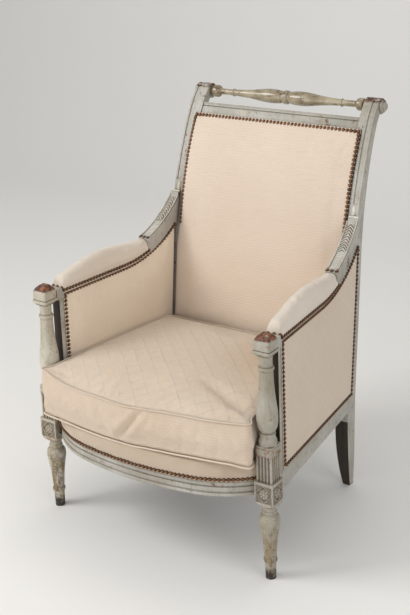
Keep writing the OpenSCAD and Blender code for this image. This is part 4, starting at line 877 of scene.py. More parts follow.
def strap_group(name, straps, finish, steps=60):
    """Several straps as one piece, each woven over and under those that cross it."""
    points, faces = [], []
    for start, end, phase, crossings, up in straps:
        rings = []
        way = (end - start).normalized()
        over = way.cross(up).normalized() * strap_half
        skyward = up * (strap_thick / 2)
        for k in range(steps + 1):
            middle = start + (end - start) * (k / steps) + up * strap_weave * math.cos(
                math.pi * (crossings * k / steps + phase))
            rings.append([middle - over - skyward, middle - over + skyward, middle + over + skyward,
                          middle + over - skyward])
        part_points, part_faces = skin(rings)
        faces += [tuple(i + len(points) for i in f) for f in part_faces]
        points += part_points
    return turned_out(mesh_piece(name, points, faces, finish))


web_low, web_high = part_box("seat_webbing")
up = Vector((0, 0, 1))
web_z = (web_low.z + web_high.z) / 2
straps_back, straps_across, strap_inset = 6, 5, 0.030
seat_straps = []
for i in range(straps_back):
    x = (web_low.x + strap_inset) + (web_high.x - web_low.x - 2 * strap_inset) * i / (straps_back - 1)
    front = web_low.y + 0.012 + 0.5 * x * x / 0.55
    seat_straps.append((Vector((x, front, web_z)), Vector((x * 0.89, web_high.y - 0.004, web_z)), i,
                        straps_across, up))
for j in range(straps_across):
    y = post_y + (60 + 360 * (j + 0.5) / straps_across) * mm
    half = (post_out - (y - post_y) / mm * math.tan(splay) - 14) * mm
    seat_straps.append((Vector((-half, y, web_z)), Vector((half, y, web_z)), j + 1, straps_back, up))
webbing = strap_group("seat_webbing_woven", seat_straps, jute.material)
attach(webbing, "chair")
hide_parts("seat_webbing")


def seat_half(y):
    """Half the width of the seat between the side pads."""
    return post_out - 21.4 - y * math.tan(splay)


bow_radius, bow_angle, bow_back = 750, math.radians(11.5), 660
bow_end_radius = 234.81
bow_end = ((bow_radius - bow_end_radius) * math.sin(bow_angle),
           bow_back - (bow_radius - bow_end_radius) * math.cos(bow_angle))
bow_last = math.asin((276.6 - bow_end[0]) / bow_end_radius)


def bow_place(t, inset):
    """A point of the bow in plan, from -1 at the left post to 1 at the right, and the way it faces."""
    middle = bow_radius * bow_angle
    run = abs(t) * (middle + bow_end_radius * (bow_last - bow_angle))
    sign = 1 if t >= 0 else -1
    if run <= middle:
        a = run / bow_radius
        x, y = (bow_radius - inset) * math.sin(a), bow_back - (bow_radius - inset) * math.cos(a)
    else:
        a = bow_angle + (run - middle) / bow_end_radius
        x = bow_end[0] + (bow_end_radius - inset) * math.sin(a)
        y = bow_end[1] - (bow_end_radius - inset) * math.cos(a)
    return sign * x, y, Vector((sign * math.sin(a), -math.cos(a), 0))


def seat_sheet(t, s, inset, z, rear):
    """A point of a flat sheet that fills the seat behind the bow."""
    x0, y0, way = bow_place(t, inset)
    y = y0 + (rear - y0) * s
    share = x0 / seat_half(max(y0, 0)) + (t - x0 / seat_half(max(y0, 0))) * min(1.0, s * 5)
    return place(share * min(seat_half(y), seat_half(0)), y, z)


hessian_low, hessian_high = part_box("seat_hessian")
seat_rear = 371
hessian_seat = thin_grid("seat_hessian_sheet", lambda u, v, level: seat_sheet(
    2 * u - 1, v, 12, (hessian_high.z if level else hessian_low.z) / mm, seat_rear), 40, 30, jute.material,
    (0.56, 0.44))
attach(hessian_seat, "chair")
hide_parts("seat_hessian")

horsehair = Finish("horsehair")
strands = horsehair.grain(160, 5, 0.8, (1, 0.3, 1))
horsehair.close(horsehair.mix(strands.limit(0.35, 0.65), linear(70, 54, 42), linear(34, 26, 20)), 0.8,
                bump=strands, bump_depth=0.002)


def lumpy_copy(node, name, finish, voxel, lump, draw_in):
    """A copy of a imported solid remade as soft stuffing, a little inside its own shape."""
    piece = eased_copy(node, name, finish, 0.1)
    remesh = piece.modifiers.new("remesh", "REMESH")
    remesh.mode = "VOXEL"
    remesh.voxel_size = voxel
    soft = bpy.data.meshes.new_from_object(piece.evaluated_get(bpy.context.evaluated_depsgraph_get()))
    piece.modifiers.clear()
    piece.data = soft
    soft.name = name
    moved = [v.co - v.normal * (draw_in + lump * (0.5 + 0.5 * noise.noise(v.co * 40))) for v in soft.vertices]
    for vertex, point in zip(soft.vertices, moved):
        vertex.co = point
    for face in soft.polygons:
        face.use_smooth = True
    soft.materials.clear()
    soft.materials.append(finish)
    return piece


for node in ("seat_edge_roll", "seat_stuffing"):
    piece = lumpy_copy(node, node + "_hair", horsehair.material, 0.004, 0.0012, 0.0004)
    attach(piece, "chair")
    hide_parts(node)


# The seat's cover and bottom cloth. The cover is the cream cotton of the whole chair, woven with fine
# ribs and a lattice of raised threads, stretched over the front edge and nailed along the rail. A
# black cotton cloth is tacked under the seat.
def woven(name, pale, deep, lattice=0.5, ribs=0.5, soil=0.25, rib_pitch=6.4, lattice_pitch=30, sheen=0.3,
          stripe=0.0, nook_shade=0.25, nook_shade_reach=0.02, painted_shade_at=None):
    """Cream cloth on its own map: threads, ribs of short dashes, and a lattice of light threads. Painted
    shade darkens its nooks, and a brown patch of painted shade can lie round a given place."""
    cloth = Finish(name)
    u = cloth.node("SeparateXYZ", {}, {0: cloth.node("UVMap", {"uv_map": "cloth"})})
    v = Wire(cloth, u.socket.node.outputs["Y"])
    wander = cloth.grain(30, 3)
    warp = (u * (2000 * math.pi / 1.3)).maths("SINE")
    weft = (v * (2000 * math.pi / 1.3)).maths("SINE")
    thread = warp * weft
    row = (v * (2000 * math.pi / rib_pitch) + wander * 2).maths("SINE").limit(0.2, 0.95)
    shifted = u + (v * (1000 / rib_pitch)).maths("FLOOR") * 0.0021
    dash = (shifted * (2000 * math.pi / 4.2)).maths("SINE").limit(-0.3, 0.5)
    rib = row * dash
    lines = []
    for sum_or_difference in (u + v, u - v):
        step = sum_or_difference * (1000 / (lattice_pitch * math.sqrt(2))) + wander * 0.03
        lines.append(1 - (step.maths("FRACT") - 0.5).maths("ABSOLUTE").limit(0.018, 0.05))
    stripes = (u * (2000 * math.pi / 10) + wander).maths("SINE").limit(0.3, 1.0) * stripe
    net = lines[0].maths("MAXIMUM", lines[1]) * (0.55 + thread * 0.45)
    cloud = cloth.grain(5, 4, 0.6)
    colour = cloth.mix(cloud.limit(0.3, 0.7) * soil * 2, pale, deep)
    colour = cloth.mix((1 - thread.limit(-0.8, 0.6)) * 0.22, colour, linear(176, 146, 118))
    colour = cloth.mix(rib * ribs * 0.55, colour, linear(244, 231, 214))
    colour = cloth.mix(net * lattice, colour, linear(250, 240, 224))
    colour = cloth.mix(stripes * 0.5, colour, linear(246, 234, 218))
    # Painted shade: a brown patch round the given place, for the shade that falls there.
    if painted_shade_at:
        shade_distance = cloth.node("VectorMath", {"operation": "DISTANCE"},
                          {0: cloth.node("TexCoord", {}, {}, "Object"), 1: painted_shade_at}, "Value")
        colour = cloth.mix((1 - (shade_distance + cloud * 0.05).limit(0.06, 0.22)) * 0.6, colour, linear(196, 163, 128))
    # Painted shade in the nooks that light reaches least.
    near = cloth.node("AmbientOcclusion", {"samples": 6}, {"Distance": nook_shade_reach}, "AO")
    colour = cloth.mix((1 - near.limit(0.2, 0.85)) * nook_shade, colour, linear(172, 142, 112))
    fibre = cloth.grain(420, 3, 0.7)
    relief = (thread * 0.5 + rib * ribs + net * lattice * 1.4 + stripes * 1.2 + fibre * 0.5
              + cloth.grain(16, 3) * 2.2)
    return cloth.close(colour, 0.86 - net * 0.12, bump=relief, bump_depth=0.0004, Sheen_Weight=sheen,
                       Sheen_Roughness=0.5)


striped = woven("cream_cotton_front", linear(218, 197, 174), linear(206, 182, 156), 0.12, 0.9)
seat_top, skirt_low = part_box("seat_cover")[1].z / mm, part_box("seat_cover")[0].z / mm
cover_rows, edge_rows, cover_thick, flat_inset = 60, 32, 1.5, 34
cover_profile = eased([(0.5, skirt_low), (-0.9, 236), (-2.4, 244), (-2.2, 252), (-0.6, 259.5), (3.3, 267.5),
                       (9, 271.2), (16, seat_top), (flat_inset, seat_top)], 4)


def cover_place(u, v, level):
    """A point of the seat cover: up and over the edge of the bow, then flat to the rear."""
    t = 2 * u - 1
    row = v * cover_rows
    rise = 6 * max(0.0, t + 0.1) ** 0.5 * min(1.0, 12 * (1 - t)) if t > -0.1 else 0.0
    if row <= edge_rows:
        inset, z = cover_profile[int(row)]
        z += rise * min(1.0, max(0.0, (z - 244) / 28)) * (1.0 if row < 26 else 1 - (row - 26) / 10)
        x, y, way = bow_place(t, inset)
        puff = 0.5 * math.sin(37 * t) * math.sin(math.pi * min(1, row / edge_rows))
        turn = min(1.0, max(0.0, (row - 12) / 14))
        inward = (way * (1 - turn) + Vector((0, 0, turn))).normalized()
        return place(x, y, z) + way * puff * mm - inward * (0 if level else cover_thick * mm)
    z = seat_top + rise * max(0.0, 0.4 - (row - edge_rows) / 10) - (0 if level else cover_thick)
    return seat_sheet(t, (row - edge_rows) / (cover_rows - edge_rows), flat_inset, z, seat_rear)


cover = thin_grid("seat_cover_cloth", cover_place, 150, cover_rows, striped, (0.60, 0.52))
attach(cover, "chair")
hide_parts("seat_cover")

black_cotton = Finish("black_cotton")
weave_on = black_cotton.grain(300, 3, 0.7)
black_cotton.close(black_cotton.mix(weave_on, linear(40, 36, 33), linear(58, 52, 47)), 0.9, bump=weave_on,
                   bump_depth=0.0004)


under_rear, under_z, under_thick, under_slope, under_sag = 418, 194, 1.6, 0.05038, 1.5
behind_posts, between_posts, before_legs, between_legs = 24, 275.5, 402, 235.5


def under_place(u, v, level):
    """The bottom cloth, kept clear of the posts and the rear legs."""
    t = 2 * u - 1
    x0, y0, way = bow_place(t * 0.985, 9)
    y = y0 + (under_rear - y0) * v
    half = post_out - 6 - y * math.tan(splay)
    if y < behind_posts:
        half = between_posts
    if y > before_legs:
        half = between_legs
    share = x0 / half + (t - x0 / half) * min(1.0, v * 6)
    return place(share * half, y, under_z - (0 if level else under_thick) + under_slope * max(0, y - 23)
                 - under_sag * math.sin(math.pi * v) * (1 - t * t))


under = thin_grid("bottom_cloth_sheet", under_place, 60, 60, black_cotton.material, (0.56, 0.5))
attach(under, "chair")
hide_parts("bottom_cloth")


# The back: jute webbing and hessian tacked to the frame, one panel in front of them, stuffed with
# horsehair and swelled out by it, and a plain cotton cover behind.
edge_x, pad_low_z, pad_top_z = 238.3, 273.6, 874.5


def back_facing(z):
    """The way that the back looks at a height."""
    return Vector((0, -math.cos(back_lean(z)), math.sin(back_lean(z))))


back_straps = []
strap_foot, strap_head, strap_parts, low_strap, high_strap = 300, 868, 6, 365.6, 782.5
for x in (-edge_x / 2, 0, edge_x / 2):
    for part in range(strap_parts):
        z0, z1 = (strap_foot + (strap_head - strap_foot) * k / strap_parts for k in (part, part + 1))
        back_straps.append((back_place(x, z0, 0.9), back_place(x, z1, 0.9), part, 1,
                            back_facing((z0 + z1) / 2)))
for i in range(4):
    z = low_strap + (high_strap - low_strap) * i / 3
    back_straps.append((back_place(-edge_x + 2, z, 1.5), back_place(edge_x - 2, z, 1.5), i, strap_parts,
                        back_facing(z)))
back_web = strap_group("back_webbing_woven", back_straps, jute.material, 24)
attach(back_web, "chair")
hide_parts("back_webbing")
hessian_back = thin_grid("back_hessian_sheet", lambda u, v, level: back_place(
    (2 * u - 1) * (edge_x - 2), pad_low_z + 2 + (pad_top_z - pad_low_z - 4) * v, -1.0 if level else -0.25),
    8, 60, jute.material, (0.473, 0.62))
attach(hessian_back, "chair")
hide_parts("back_hessian")


filling_steps = 20


def plump(piece, loose, pressure, cap, slack=0.0):
    """Fills a pad: its loose points swell out by no more than a limit, and the held ones stay."""
    rest = [v.co.copy() for v in piece.data.vertices]
    held = piece.vertex_groups.new(name="held")
    for index, share in enumerate(loose):
        held.add([index], 1.0 - share, "REPLACE")
    cloth = piece.modifiers.new("filling", "CLOTH")
    cloth.settings.quality = 5
    cloth.settings.use_pressure = True
    cloth.settings.uniform_pressure_force = pressure
    cloth.settings.vertex_group_mass = "held"
    cloth.settings.shrink_min = -slack
    cloth.settings.tension_stiffness = cloth.settings.compression_stiffness = 12
    cloth.settings.bending_stiffness = 0.4
    cloth.settings.effector_weights.gravity = 0
    cloth.collision_settings.use_collision = False
    cloth.point_cache.frame_start, cloth.point_cache.frame_end = 1, filling_steps
    for step in range(1, filling_steps + 1):
        bpy.context.scene.frame_set(step)
    filled = piece.evaluated_get(bpy.context.evaluated_depsgraph_get()).data
    moves = [filled.vertices[i].co - rest[i] for i in range(len(rest))]
    piece.modifiers.remove(cloth)
    piece.vertex_groups.remove(held)
    bpy.context.scene.frame_set(1)
    for vertex, start, move, share in zip(piece.data.vertices, rest, moves, loose):
        if move.length > cap:
            move *= cap / move.length
        vertex.co = start + move * min(1.0, share * 3)


def smoothed(piece):
    """The piece with one subdivision made part of its mesh."""
    finer = piece.modifiers.new("finer", "SUBSURF")
    finer.levels = finer.render_levels = 1
    mesh = bpy.data.meshes.new_from_object(piece.evaluated_get(bpy.context.evaluated_depsgraph_get()))
    piece.modifiers.clear()
    piece.data = mesh
    mesh.name = piece.name
    for face in mesh.polygons:
        face.use_smooth = True


def bulge(u, v, power=6):
    """How far a panel swells at a place on it: 1 in the middle and 0 along its edges."""
    return (1 - abs(2 * u - 1) ** power) * (1 - abs(2 * v - 1) ** power)


def loose_points(columns, rows, soft):
    """How free each point of a padded sheet is. Its edge and its back are held."""
    return [level * min(1.0, max(0, min(i, columns - i, j, rows - j) - 1) / soft) for level in (1, 0)
            for i in range(columns + 1) for j in range(rows + 1)]


def back_pad_place(u, v, level):
    """A point of the padded panel, which is wider where the arms leave room below."""
    half = edge_x + 6.2 * min(1.0, max(0.0, (600 - 278 - 597 * v) / 60))
    return back_place((2 * u - 1) * half, pad_low_z + (pad_top_z - pad_low_z) * v,
                      -(3.1 + 11.5 * bulge(u, v)) if level else -1.5)


# The padded back's cotton is paler than the outside cover's, as painted light that lifts the shade inside the
# chair.
back_cloth = woven("cream_cotton_back", linear(237, 219, 201), linear(229, 208, 188), 0.10, 1.0, rib_pitch=7)
back_pad = thin_grid("back_pad_cloth", back_pad_place, 56, 72, back_cloth, (0.477, 0.62))
plump(back_pad, loose_points(56, 72, 5), 2.2, 0.0042, 0.006)
smoothed(back_pad)
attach(back_pad, "chair")
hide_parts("back_pad")

plain_back = woven("cream_cotton_outside", linear(226, 209, 190), linear(216, 196, 174), 0.12, 0.5)
outer_z0, outer_z1 = 282, 879.5


def outer_place(u, v, level):
    """A point of the plain cover behind the back, drawn tight with slight ripples."""
    z = outer_z0 + (outer_z1 - outer_z0) * v
    half = 236.4 + (231.6 - 236.4) * (z - rail_top) / 649
    ripple = 0.35 * math.sin(21 * v + 2) * math.sin(9 * u) * bulge(u, v, 4)
    depth = 24.3 + (1.5 + ripple + 1.2 * bulge(u, v, 4) if level else 0.1)
    return back_place((2 * u - 1) * half, z + 8, depth)


outer = thin_grid("back_outer_cover_cloth", outer_place, 60, 80, plain_back, (0.47, 0.6))
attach(outer, "chair")
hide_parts("back_outer_cover")


# Each side has a padded panel inside and a plain cover outside, both nailed along the arm, and an arm
# pad in a plainer, paler cotton, stuffed to a rounded shape and nailed along both edges of the arm.
under_radius = 338


def sweep_low(y):
    """The height of the arm's underside, level and then up the sweep."""
    if y <= sweep_y:
        return sweep_z - under_radius
    return sweep_z - math.sqrt(under_radius ** 2 - (y - sweep_y) ** 2)


def back_line(z):
    """How far back the front of the back lies at a height."""
    return (back_place(0, z, 0).y - post_y) / mm


# The inside panels' cotton is paler than the outside's, as painted light that lifts the shade inside the
# chair.
side_cloth = woven("cream_cotton_side", linear(252, 235, 213), linear(243, 222, 198), 0.06, 0.3,
                   rib_pitch=5, stripe=0.5)
outer_cloth = woven("cream_cotton_outer_side", linear(232, 213, 192), linear(220, 197, 174), 0.35, 0.9,
                    rib_pitch=5, stripe=0.4)
side_from, side_low, side_rise, arm_under = 47, 272.3, 263.7, 526


def side_pad_place(u, v, level):
    """A point of the right side's padded panel, from the front upright back to the stile."""
    z = side_low + side_rise * v
    y = side_from + (back_line(z) - 3.8 - side_from) * u
    z += v * (sweep_low(y) - arm_under)
    return side_place(-(14.0 + 8 * bulge(u, v) if level else 12.4), y, z)


side_pad = thin_grid("side_pad_right_cloth", side_pad_place, 50, 40, side_cloth, (0.39, 0.27))
plump(side_pad, loose_points(50, 40, 4), 2.5, 0.003, 0.006)
smoothed(side_pad)


def side_edge(y):
    """The lower edge of the outside cover, which rises to the rear with the rail."""
    return 239.4 + 9 * y / 421.7


def side_cover_place(u, v, level):
    """A point of the right side's outside cover."""
    y = side_from + (back_line(239 + 297 * v) + 10 - side_from) * u
    z = side_edge(y) + (539 - side_edge(y)) * v + v * (sweep_low(y) - arm_under)
    ripple = 0.3 * math.sin(17 * u + 3 * v) * math.sin(8 * v)
    return side_place(12.4 + (1.5 + (1.2 + ripple) * bulge(u, v, 4) if level else 0), y, z)


side_cover = thin_grid("side_cover_right_cloth", side_cover_place, 70, 60, outer_cloth, (0.40, 0.30))

pad_from, pad_to, pad_half, pad_height, pad_skirt, pad_seat = 42.5, 343, 20.2, 49, 15.5, 312
pad_around, skirt_rows, under_rows = 40, 4, 7
pad_run, pad_girth, pad_floor = 0.32, 0.09, 0.03
pad_heights = [(0.0, 0.16), (0.01, 0.36), (0.03, 0.50), (0.09, 0.60), (0.18, 0.72), (0.27, 0.86),
               (0.36, 0.95), (0.45, 1.0), (0.55, 1.0), (0.64, 0.96), (0.73, 0.89), (0.82, 0.80),
               (0.91, 0.68), (0.965, 0.58), (0.99, 0.50), (1.0, 0.42)]
pad_rings, pad_loose, pad_map = [], [], []
for share, high in eased(pad_heights, 5):
    y = pad_from + (pad_to - pad_from) * share
    tilt = max(0.0, math.asin(min(1.0, max(0.0, (y - sweep_y) / pad_seat))))
    base = 552.3 if y <= sweep_y else sweep_z - pad_seat * math.cos(tilt) + 0.3
    wide = pad_half * (0.80 + 0.20 * min(1.0, min(share, (1 - share) * 0.8) / 0.06))
    wide *= 1 - 0.10 * max(0.0, share - 0.7) / 0.3
    ring = []
    for k in range(pad_around + 1):
        from_edge = min(k, pad_around - k)
        if from_edge <= skirt_rows:
            x, z = (-17.9 if k < 20 else 16.3), base - pad_skirt * (1 - from_edge / skirt_rows)
            if from_edge == skirt_rows:
                x *= 1.03
        else:
            a = math.pi * (k - skirt_rows) / (pad_around - 2 * skirt_rows)
            x = -wide * math.copysign(abs(math.cos(a)) ** 0.85, math.cos(a)) - 1.8
            z = base + 1.5 + (pad_height * high - 2) * math.sin(a) ** 0.72
            z += 0.7 * math.sin(a) * math.sin(46 * share + 2.6 * a + 1.4 * math.sin(19 * share))
        ring.append(side_place(x, y, z))
        pad_loose.append(0.0 if from_edge < skirt_rows + 3 or share < 0.01 or share > 0.99 else 1.0)
        pad_map.append((share * pad_run, k / pad_around * pad_girth))
    for k in range(under_rows):
        ring.append(side_place(15.9 - 33.2 * (k + 0.5) / under_rows, y, base + 0.25))
        pad_loose.append(0.0)
        pad_map.append((share * pad_run, pad_girth + k / under_rows * pad_floor))
    pad_rings.append(ring)
pad_cloth = woven("pale_cotton_arm", linear(238, 226, 211), linear(226, 211, 194), 0.0, 0.12, 0.35, sheen=0.4)
points, faces = skin(pad_rings)
arm_pad = turned_out(mesh_piece("arm_pad_right_cloth", points, faces, pad_cloth, None,
                                pad_map + [(0, 0)] * 2))
plump(arm_pad, pad_loose + [0.0, 0.0], 2.0, 0.0025, 0.004)
smoothed(arm_pad)
for piece, node in ((side_pad, "side_pad_"), (side_cover, "side_outer_cover_"), (arm_pad, "arm_pad_")):
    for one, side in ((piece, "right"), (mirrored(piece, piece.name.replace("right", "left")), "left")):
        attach(one, "chair")
        "plain_cotton" if node == "arm_pad_" else "striped_cotton"
        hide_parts(node + side)
        if node == "side_outer_cover_":
            "side_seat_rail_" + side + "_eased"


# The loose cushion: a crown, a border about 100 mm deep and a bottom, sewn from the cream cotton with
# a piped seam round both edges. Its filling pushes the cloth out between the seams and leaves soft
# creases in the border.
cushion_front, cushion_bow, cushion_rear, corner_round = -96, 44, 396, 20
ear_reach, ear_centre, ear_round = 289, (275, -40.8), 14


def seat_outline(lean, inward):
    """Half the cushion's outline in plan, from the middle of the front to the middle of the rear."""
    ear_x, front = ear_reach - inward, cushion_front + inward + lean
    side_x = post_out - (12 + 9 + 1.6 + 2 + 0.6) / math.cos(splay) - inward
    slope, rear = math.tan(splay), cushion_rear - inward
    corner_x, side_y = side_x - (rear - corner_round) * slope - corner_round, -15.33 - inward * 0.45
    ear = ear_round - inward
    line = [(x, front + (cushion_bow - lean) * (x / ear_x) ** 2) for x in
            ((ear_x - ear_round) * i / 10 for i in range(10))]
    line += [(ear_centre[0] + ear * math.cos(a), ear_centre[1] + ear * math.sin(a)) for a in
             (math.radians(-70 + 26.25 * i) for i in range(5))]
    line += [(side_x - y * slope, y) for y in (side_y + (rear - 25 - side_y) * i / 8 for i in range(9))]
    line += [(corner_x + corner_round * math.cos(a), rear - corner_round + corner_round * math.sin(a))
             for a in (math.radians(10 + 70 / 3 * i) for i in range(4))]
    line += [((corner_x - 10) * (1 - i / 5), rear) for i in range(1, 6)]
    return line


def evenly(line, count):
    """Points at equal distances along a line."""
    runs = [0.0]
    for p, q in zip(line, line[1:]):
        runs.append(runs[-1] + math.hypot(q[0] - p[0], q[1] - p[1]))
    result, place_in = [], 0
    for i in range(count + 1):
        run = runs[-1] * i / count
        while place_in < len(runs) - 2 and runs[place_in + 1] < run:
            place_in += 1
        share = (run - runs[place_in]) / max(1e-9, runs[place_in + 1] - runs[place_in])
        result.append(tuple(a + (b - a) * share for a, b in zip(line[place_in], line[place_in + 1])))
    return result


across_count, deep_count = 96, 72


def cushion_sides(lean, inward):
    """The outline as four runs of points: front, right, rear and left, anticlockwise."""
    half = eased(seat_outline(lean, inward), 5)
    ear, corner = 12 * 5, 24 * 5 + 3
    front_half, right, rear_half = half[:ear + 1], half[ear:corner + 1], half[corner:]
    front = evenly([(-x, y) for x, y in reversed(front_half)] + front_half[1:], across_count)
    side = evenly(right, deep_count)
    rear = evenly(rear_half + [(-x, y) for x, y in reversed(rear_half)][1:], across_count)
    return front, side, rear, [(-x, y) for x, y in reversed(side)]


def cushion_loop(lean, inward):
    """The whole outline as one loop of points, from the left end of the front."""
    front, right, rear, left = cushion_sides(lean, inward)
    return front[:-1] + right[:-1] + rear[:-1] + left[:-1]


def patch(s, t, i, j, sides):
    """A point inside the outline, from its four sides."""
    front, right, rear, left = sides
    f, b = front[i], rear[across_count - i]
    l, r = left[deep_count - j], right[j]
    return tuple((1 - t) * f[k] + t * b[k] + (1 - s) * l[k] + s * r[k]
                 - ((1 - s) * (1 - t) * front[0][k] + s * (1 - t) * front[-1][k]
                    + (1 - s) * t * rear[-1][k] + s * t * rear[0][k]) for k in (0, 1))


cushion_low_z, cushion_tall, seam_inset, bottom_lean = 277.1, 102, 5.1, 10
top_dips = [(-300, 0), (-268, 0), (-224, -6), (-184, -9.5), (-136, -9), (-88, -7.5), (-12, -9), (52, -4),
            (92, -0.5), (144, 0), (200, -1.5), (236, -1), (268, 0), (300, 0)]
low_dips = [(-300, -8), (-262, -8), (-220, -5.5), (-188, -4.5), (-96, -4.5), (-8, -3), (50, 1.5),
            (80, 3.5), (164, 6), (240, 6.5), (268, 4), (300, 3)]


def dip(table, x):
    """A height read from a table of places across the cushion, with a smooth step between them."""
    for (x0, z0), (x1, z1) in zip(table, table[1:]):
        if x <= x1 or x1 == table[-1][0]:
            share = min(1.0, max(0.0, (x - x0) / (x1 - x0)))
            return z0 + (z1 - z0) * share * share * (3 - 2 * share)


def seam_height(x, y):
    """The top seam: it drops a little to the rear and sags along the left of the front."""
    return (cushion_low_z + cushion_tall - 9 * (max(0, y) / cushion_rear) ** 2
            + dip(top_dips, x) * min(1.0, max(0.0, 1 - (y + 40) / 110)))


def low_seam_height(x, y):
    """The bottom seam, which hangs over the seat's edge on the left and rides up on the right."""
    return cushion_low_z + dip(low_dips, x) * min(1.0, max(0.0, 1 - (y + 30) / 60))


def crown_height(s, t, x, y):
    """How far the crown stands over its seams, with dents behind its right front corner."""
    lift = 20 * (1 - abs(2 * s - 1) ** 3.6) * (1 - abs(2 * t - 1) ** 3.6)
    for middle_x, middle_y, long, short, deep in ((146, 36, 40, 15, 9.0), (216, 8, 52, 17, 12.5)):
        run = (x - middle_x) * 0.93 - (y - middle_y) * 0.36
        off = (x - middle_x) * 0.36 + (y - middle_y) * 0.93
        lift -= deep * math.exp(-(run / long) ** 2 - (off / short) ** 2) * min(1, lift / 6)
    return lift


# Each crease: where it starts and ends across the border and up it, how deep and how wide it is.
creases = [(34, 0.92, -34, 0.14, 9.5, 7), (-92, 0.82, -66, 0.30, 2.4, 7), (-126, 0.85, -118, 0.42, 1.6, 6),
           (-34, 0.60, -78, 0.52, 1.8, 9), (92, 0.04, 108, 0.30, 2.4, 6), (122, 0.04, 128, 0.24, 2.0, 5),
           (158, 0.04, 176, 0.34, 2.2, 6), (206, 0.04, 214, 0.30, 1.8, 6), (244, 0.70, 262, 0.30, 2.0, 7),
           (150, 0.72, 132, 0.40, 1.6, 9)]


def fold_depth(x, y, h):
    """How far the creases press in the front of the border at a place across it and up it."""
    fold = 0.0
    for x0, h0, x1, h1, deep, wide in creases if y < 20 else []:
        along, up_it = x1 - x0, h1 * 100 - h0 * 100
        reach = ((x - x0) * along + (h * 100 - h0 * 100) * up_it) / (along ** 2 + up_it ** 2)
        reach = max(0.0, min(1.0, reach))
        off = math.hypot(x - x0 - along * reach, h * 100 - h0 * 100 - up_it * reach)
        fold += deep * (math.exp(-(off / wide) ** 2) - 0.45 * math.exp(-((off - 16) / wide) ** 2))
    return fold * math.sin(math.pi * h) ** 0.6 * mm


top_sides, low_sides = cushion_sides(0, seam_inset), cushion_sides(bottom_lean, seam_inset)
points, faces, cloth_map, loose, folds = [], [], [], [], []
box_levels = 14
loop_count = 2 * (across_count + deep_count)
runs = [0.0]
top_loop = cushion_loop(0, seam_inset)
for (x0, y0), (x1, y1) in zip(top_loop, top_loop[1:]):
    runs.append(runs[-1] + math.hypot(x1 - x0, y1 - y0))
for level in range(box_levels + 1):
    h = level / box_levels
    swell_out = 3.2 * math.sin(math.pi * h) ** 0.7
    for k, (x, y) in enumerate(cushion_loop(bottom_lean * (1 - h), seam_inset - swell_out)):
        z = low_seam_height(x, y) + (seam_height(x, y) - low_seam_height(x, y)) * h
        points.append(place(x, y, z))
        folds.append(fold_depth(x, y, h))
        cloth_map.append((runs[k] * mm, z * mm))
        loose.append(min(1.0, 3.2 * min(h, 1 - h)) if 0 < level < box_levels else 0.0)
for level in range(box_levels):
    for k in range(loop_count):
        m = (k + 1) % loop_count
        faces.append((level * loop_count + k, level * loop_count + m, (level + 1) * loop_count + m,
                      (level + 1) * loop_count + k))
for top, sides, start in ((True, top_sides, box_levels * loop_count), (False, low_sides, 0)):
    index = {}
    for i in range(across_count + 1):
        for j in range(deep_count + 1):
            if j == 0:
                index[i, j] = start + i
            elif i == across_count:
                index[i, j] = start + across_count + j
            elif j == deep_count:
                index[i, j] = start + across_count + deep_count + across_count - i
            elif i == 0:
                index[i, j] = start + 2 * across_count + deep_count + deep_count - j
            else:
                s, t = i / across_count, j / deep_count
                x, y = patch(s, t, i, j, sides)
                if top:
                    z = seam_height(x, y) + crown_height(s, t, x, y)
                else:
                    z = low_seam_height(x, y) * (1 - min(1.0, 6 * t)) + cushion_low_z * min(1.0, 6 * t)
                    z -= 4.5 * min(1.0, 9 * min(s, 1 - s, t, 1 - t))
                index[i, j] = len(points)
                points.append(place(x, y, z))
                cloth_map.append((x * mm, y * mm))
                loose.append(min(1.0, min(i, across_count - i, j, deep_count - j) / 3) if top else 0.0)
    for i in range(across_count):
        for j in range(deep_count):
            quad = (index[i, j], index[i + 1, j], index[i + 1, j + 1], index[i, j + 1])
            faces.append(quad if top else quad[::-1])
# The cushion's crown is browned on its right as painted shade, and its seams are darkened as painted shade.
cushion_cloth = woven("cream_cotton_cushion", linear(229, 211, 190), linear(219, 197, 172), 0.95, 0.6,
                      nook_shade=0.8, nook_shade_reach=0.007, painted_shade_at=(0.19, -0.03, 0.33))
border_cloth = woven("cream_cotton_border", linear(223, 203, 182), linear(208, 185, 160), 0.15, 0.6,
                     nook_shade=0.8, nook_shade_reach=0.007)
cushion = mesh_piece("cushion_cover", points, faces, cushion_cloth, None, cloth_map)
cushion.data.materials.append(border_cloth)
for face in cushion.data.polygons[:box_levels * loop_count]:
    face.material_index = 1
plump(cushion, loose, 2.6, 0.006, 0.02)
for vertex, fold in zip(cushion.data.vertices, folds):
    vertex.co.y += fold
smoothed(cushion)
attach(cushion, "cushion")
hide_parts("cushion_body")


def tube(name, path, radius, finish, around=12):
    """A closed round cord along a loop of points."""
    rings, cloth = [], []
    run = 0.0
    for k, point in enumerate(path):
        ahead = (path[(k + 1) % len(path)] - path[k - 1]).normalized()
        out = ahead.cross(Vector((0, 0, 1))).normalized()
        rise = out.cross(ahead)
        rings.append([point + (out * math.cos(a) + rise * math.sin(a)) * radius for a in
                      (2 * math.pi * n / around for n in range(around))])
        cloth += [(run, n / around * 0.015) for n in range(around)]
        run += (path[(k + 1) % len(path)] - point).length
    return turned_out(mesh_piece(name, *skin(rings, closed=True), finish, None, cloth))


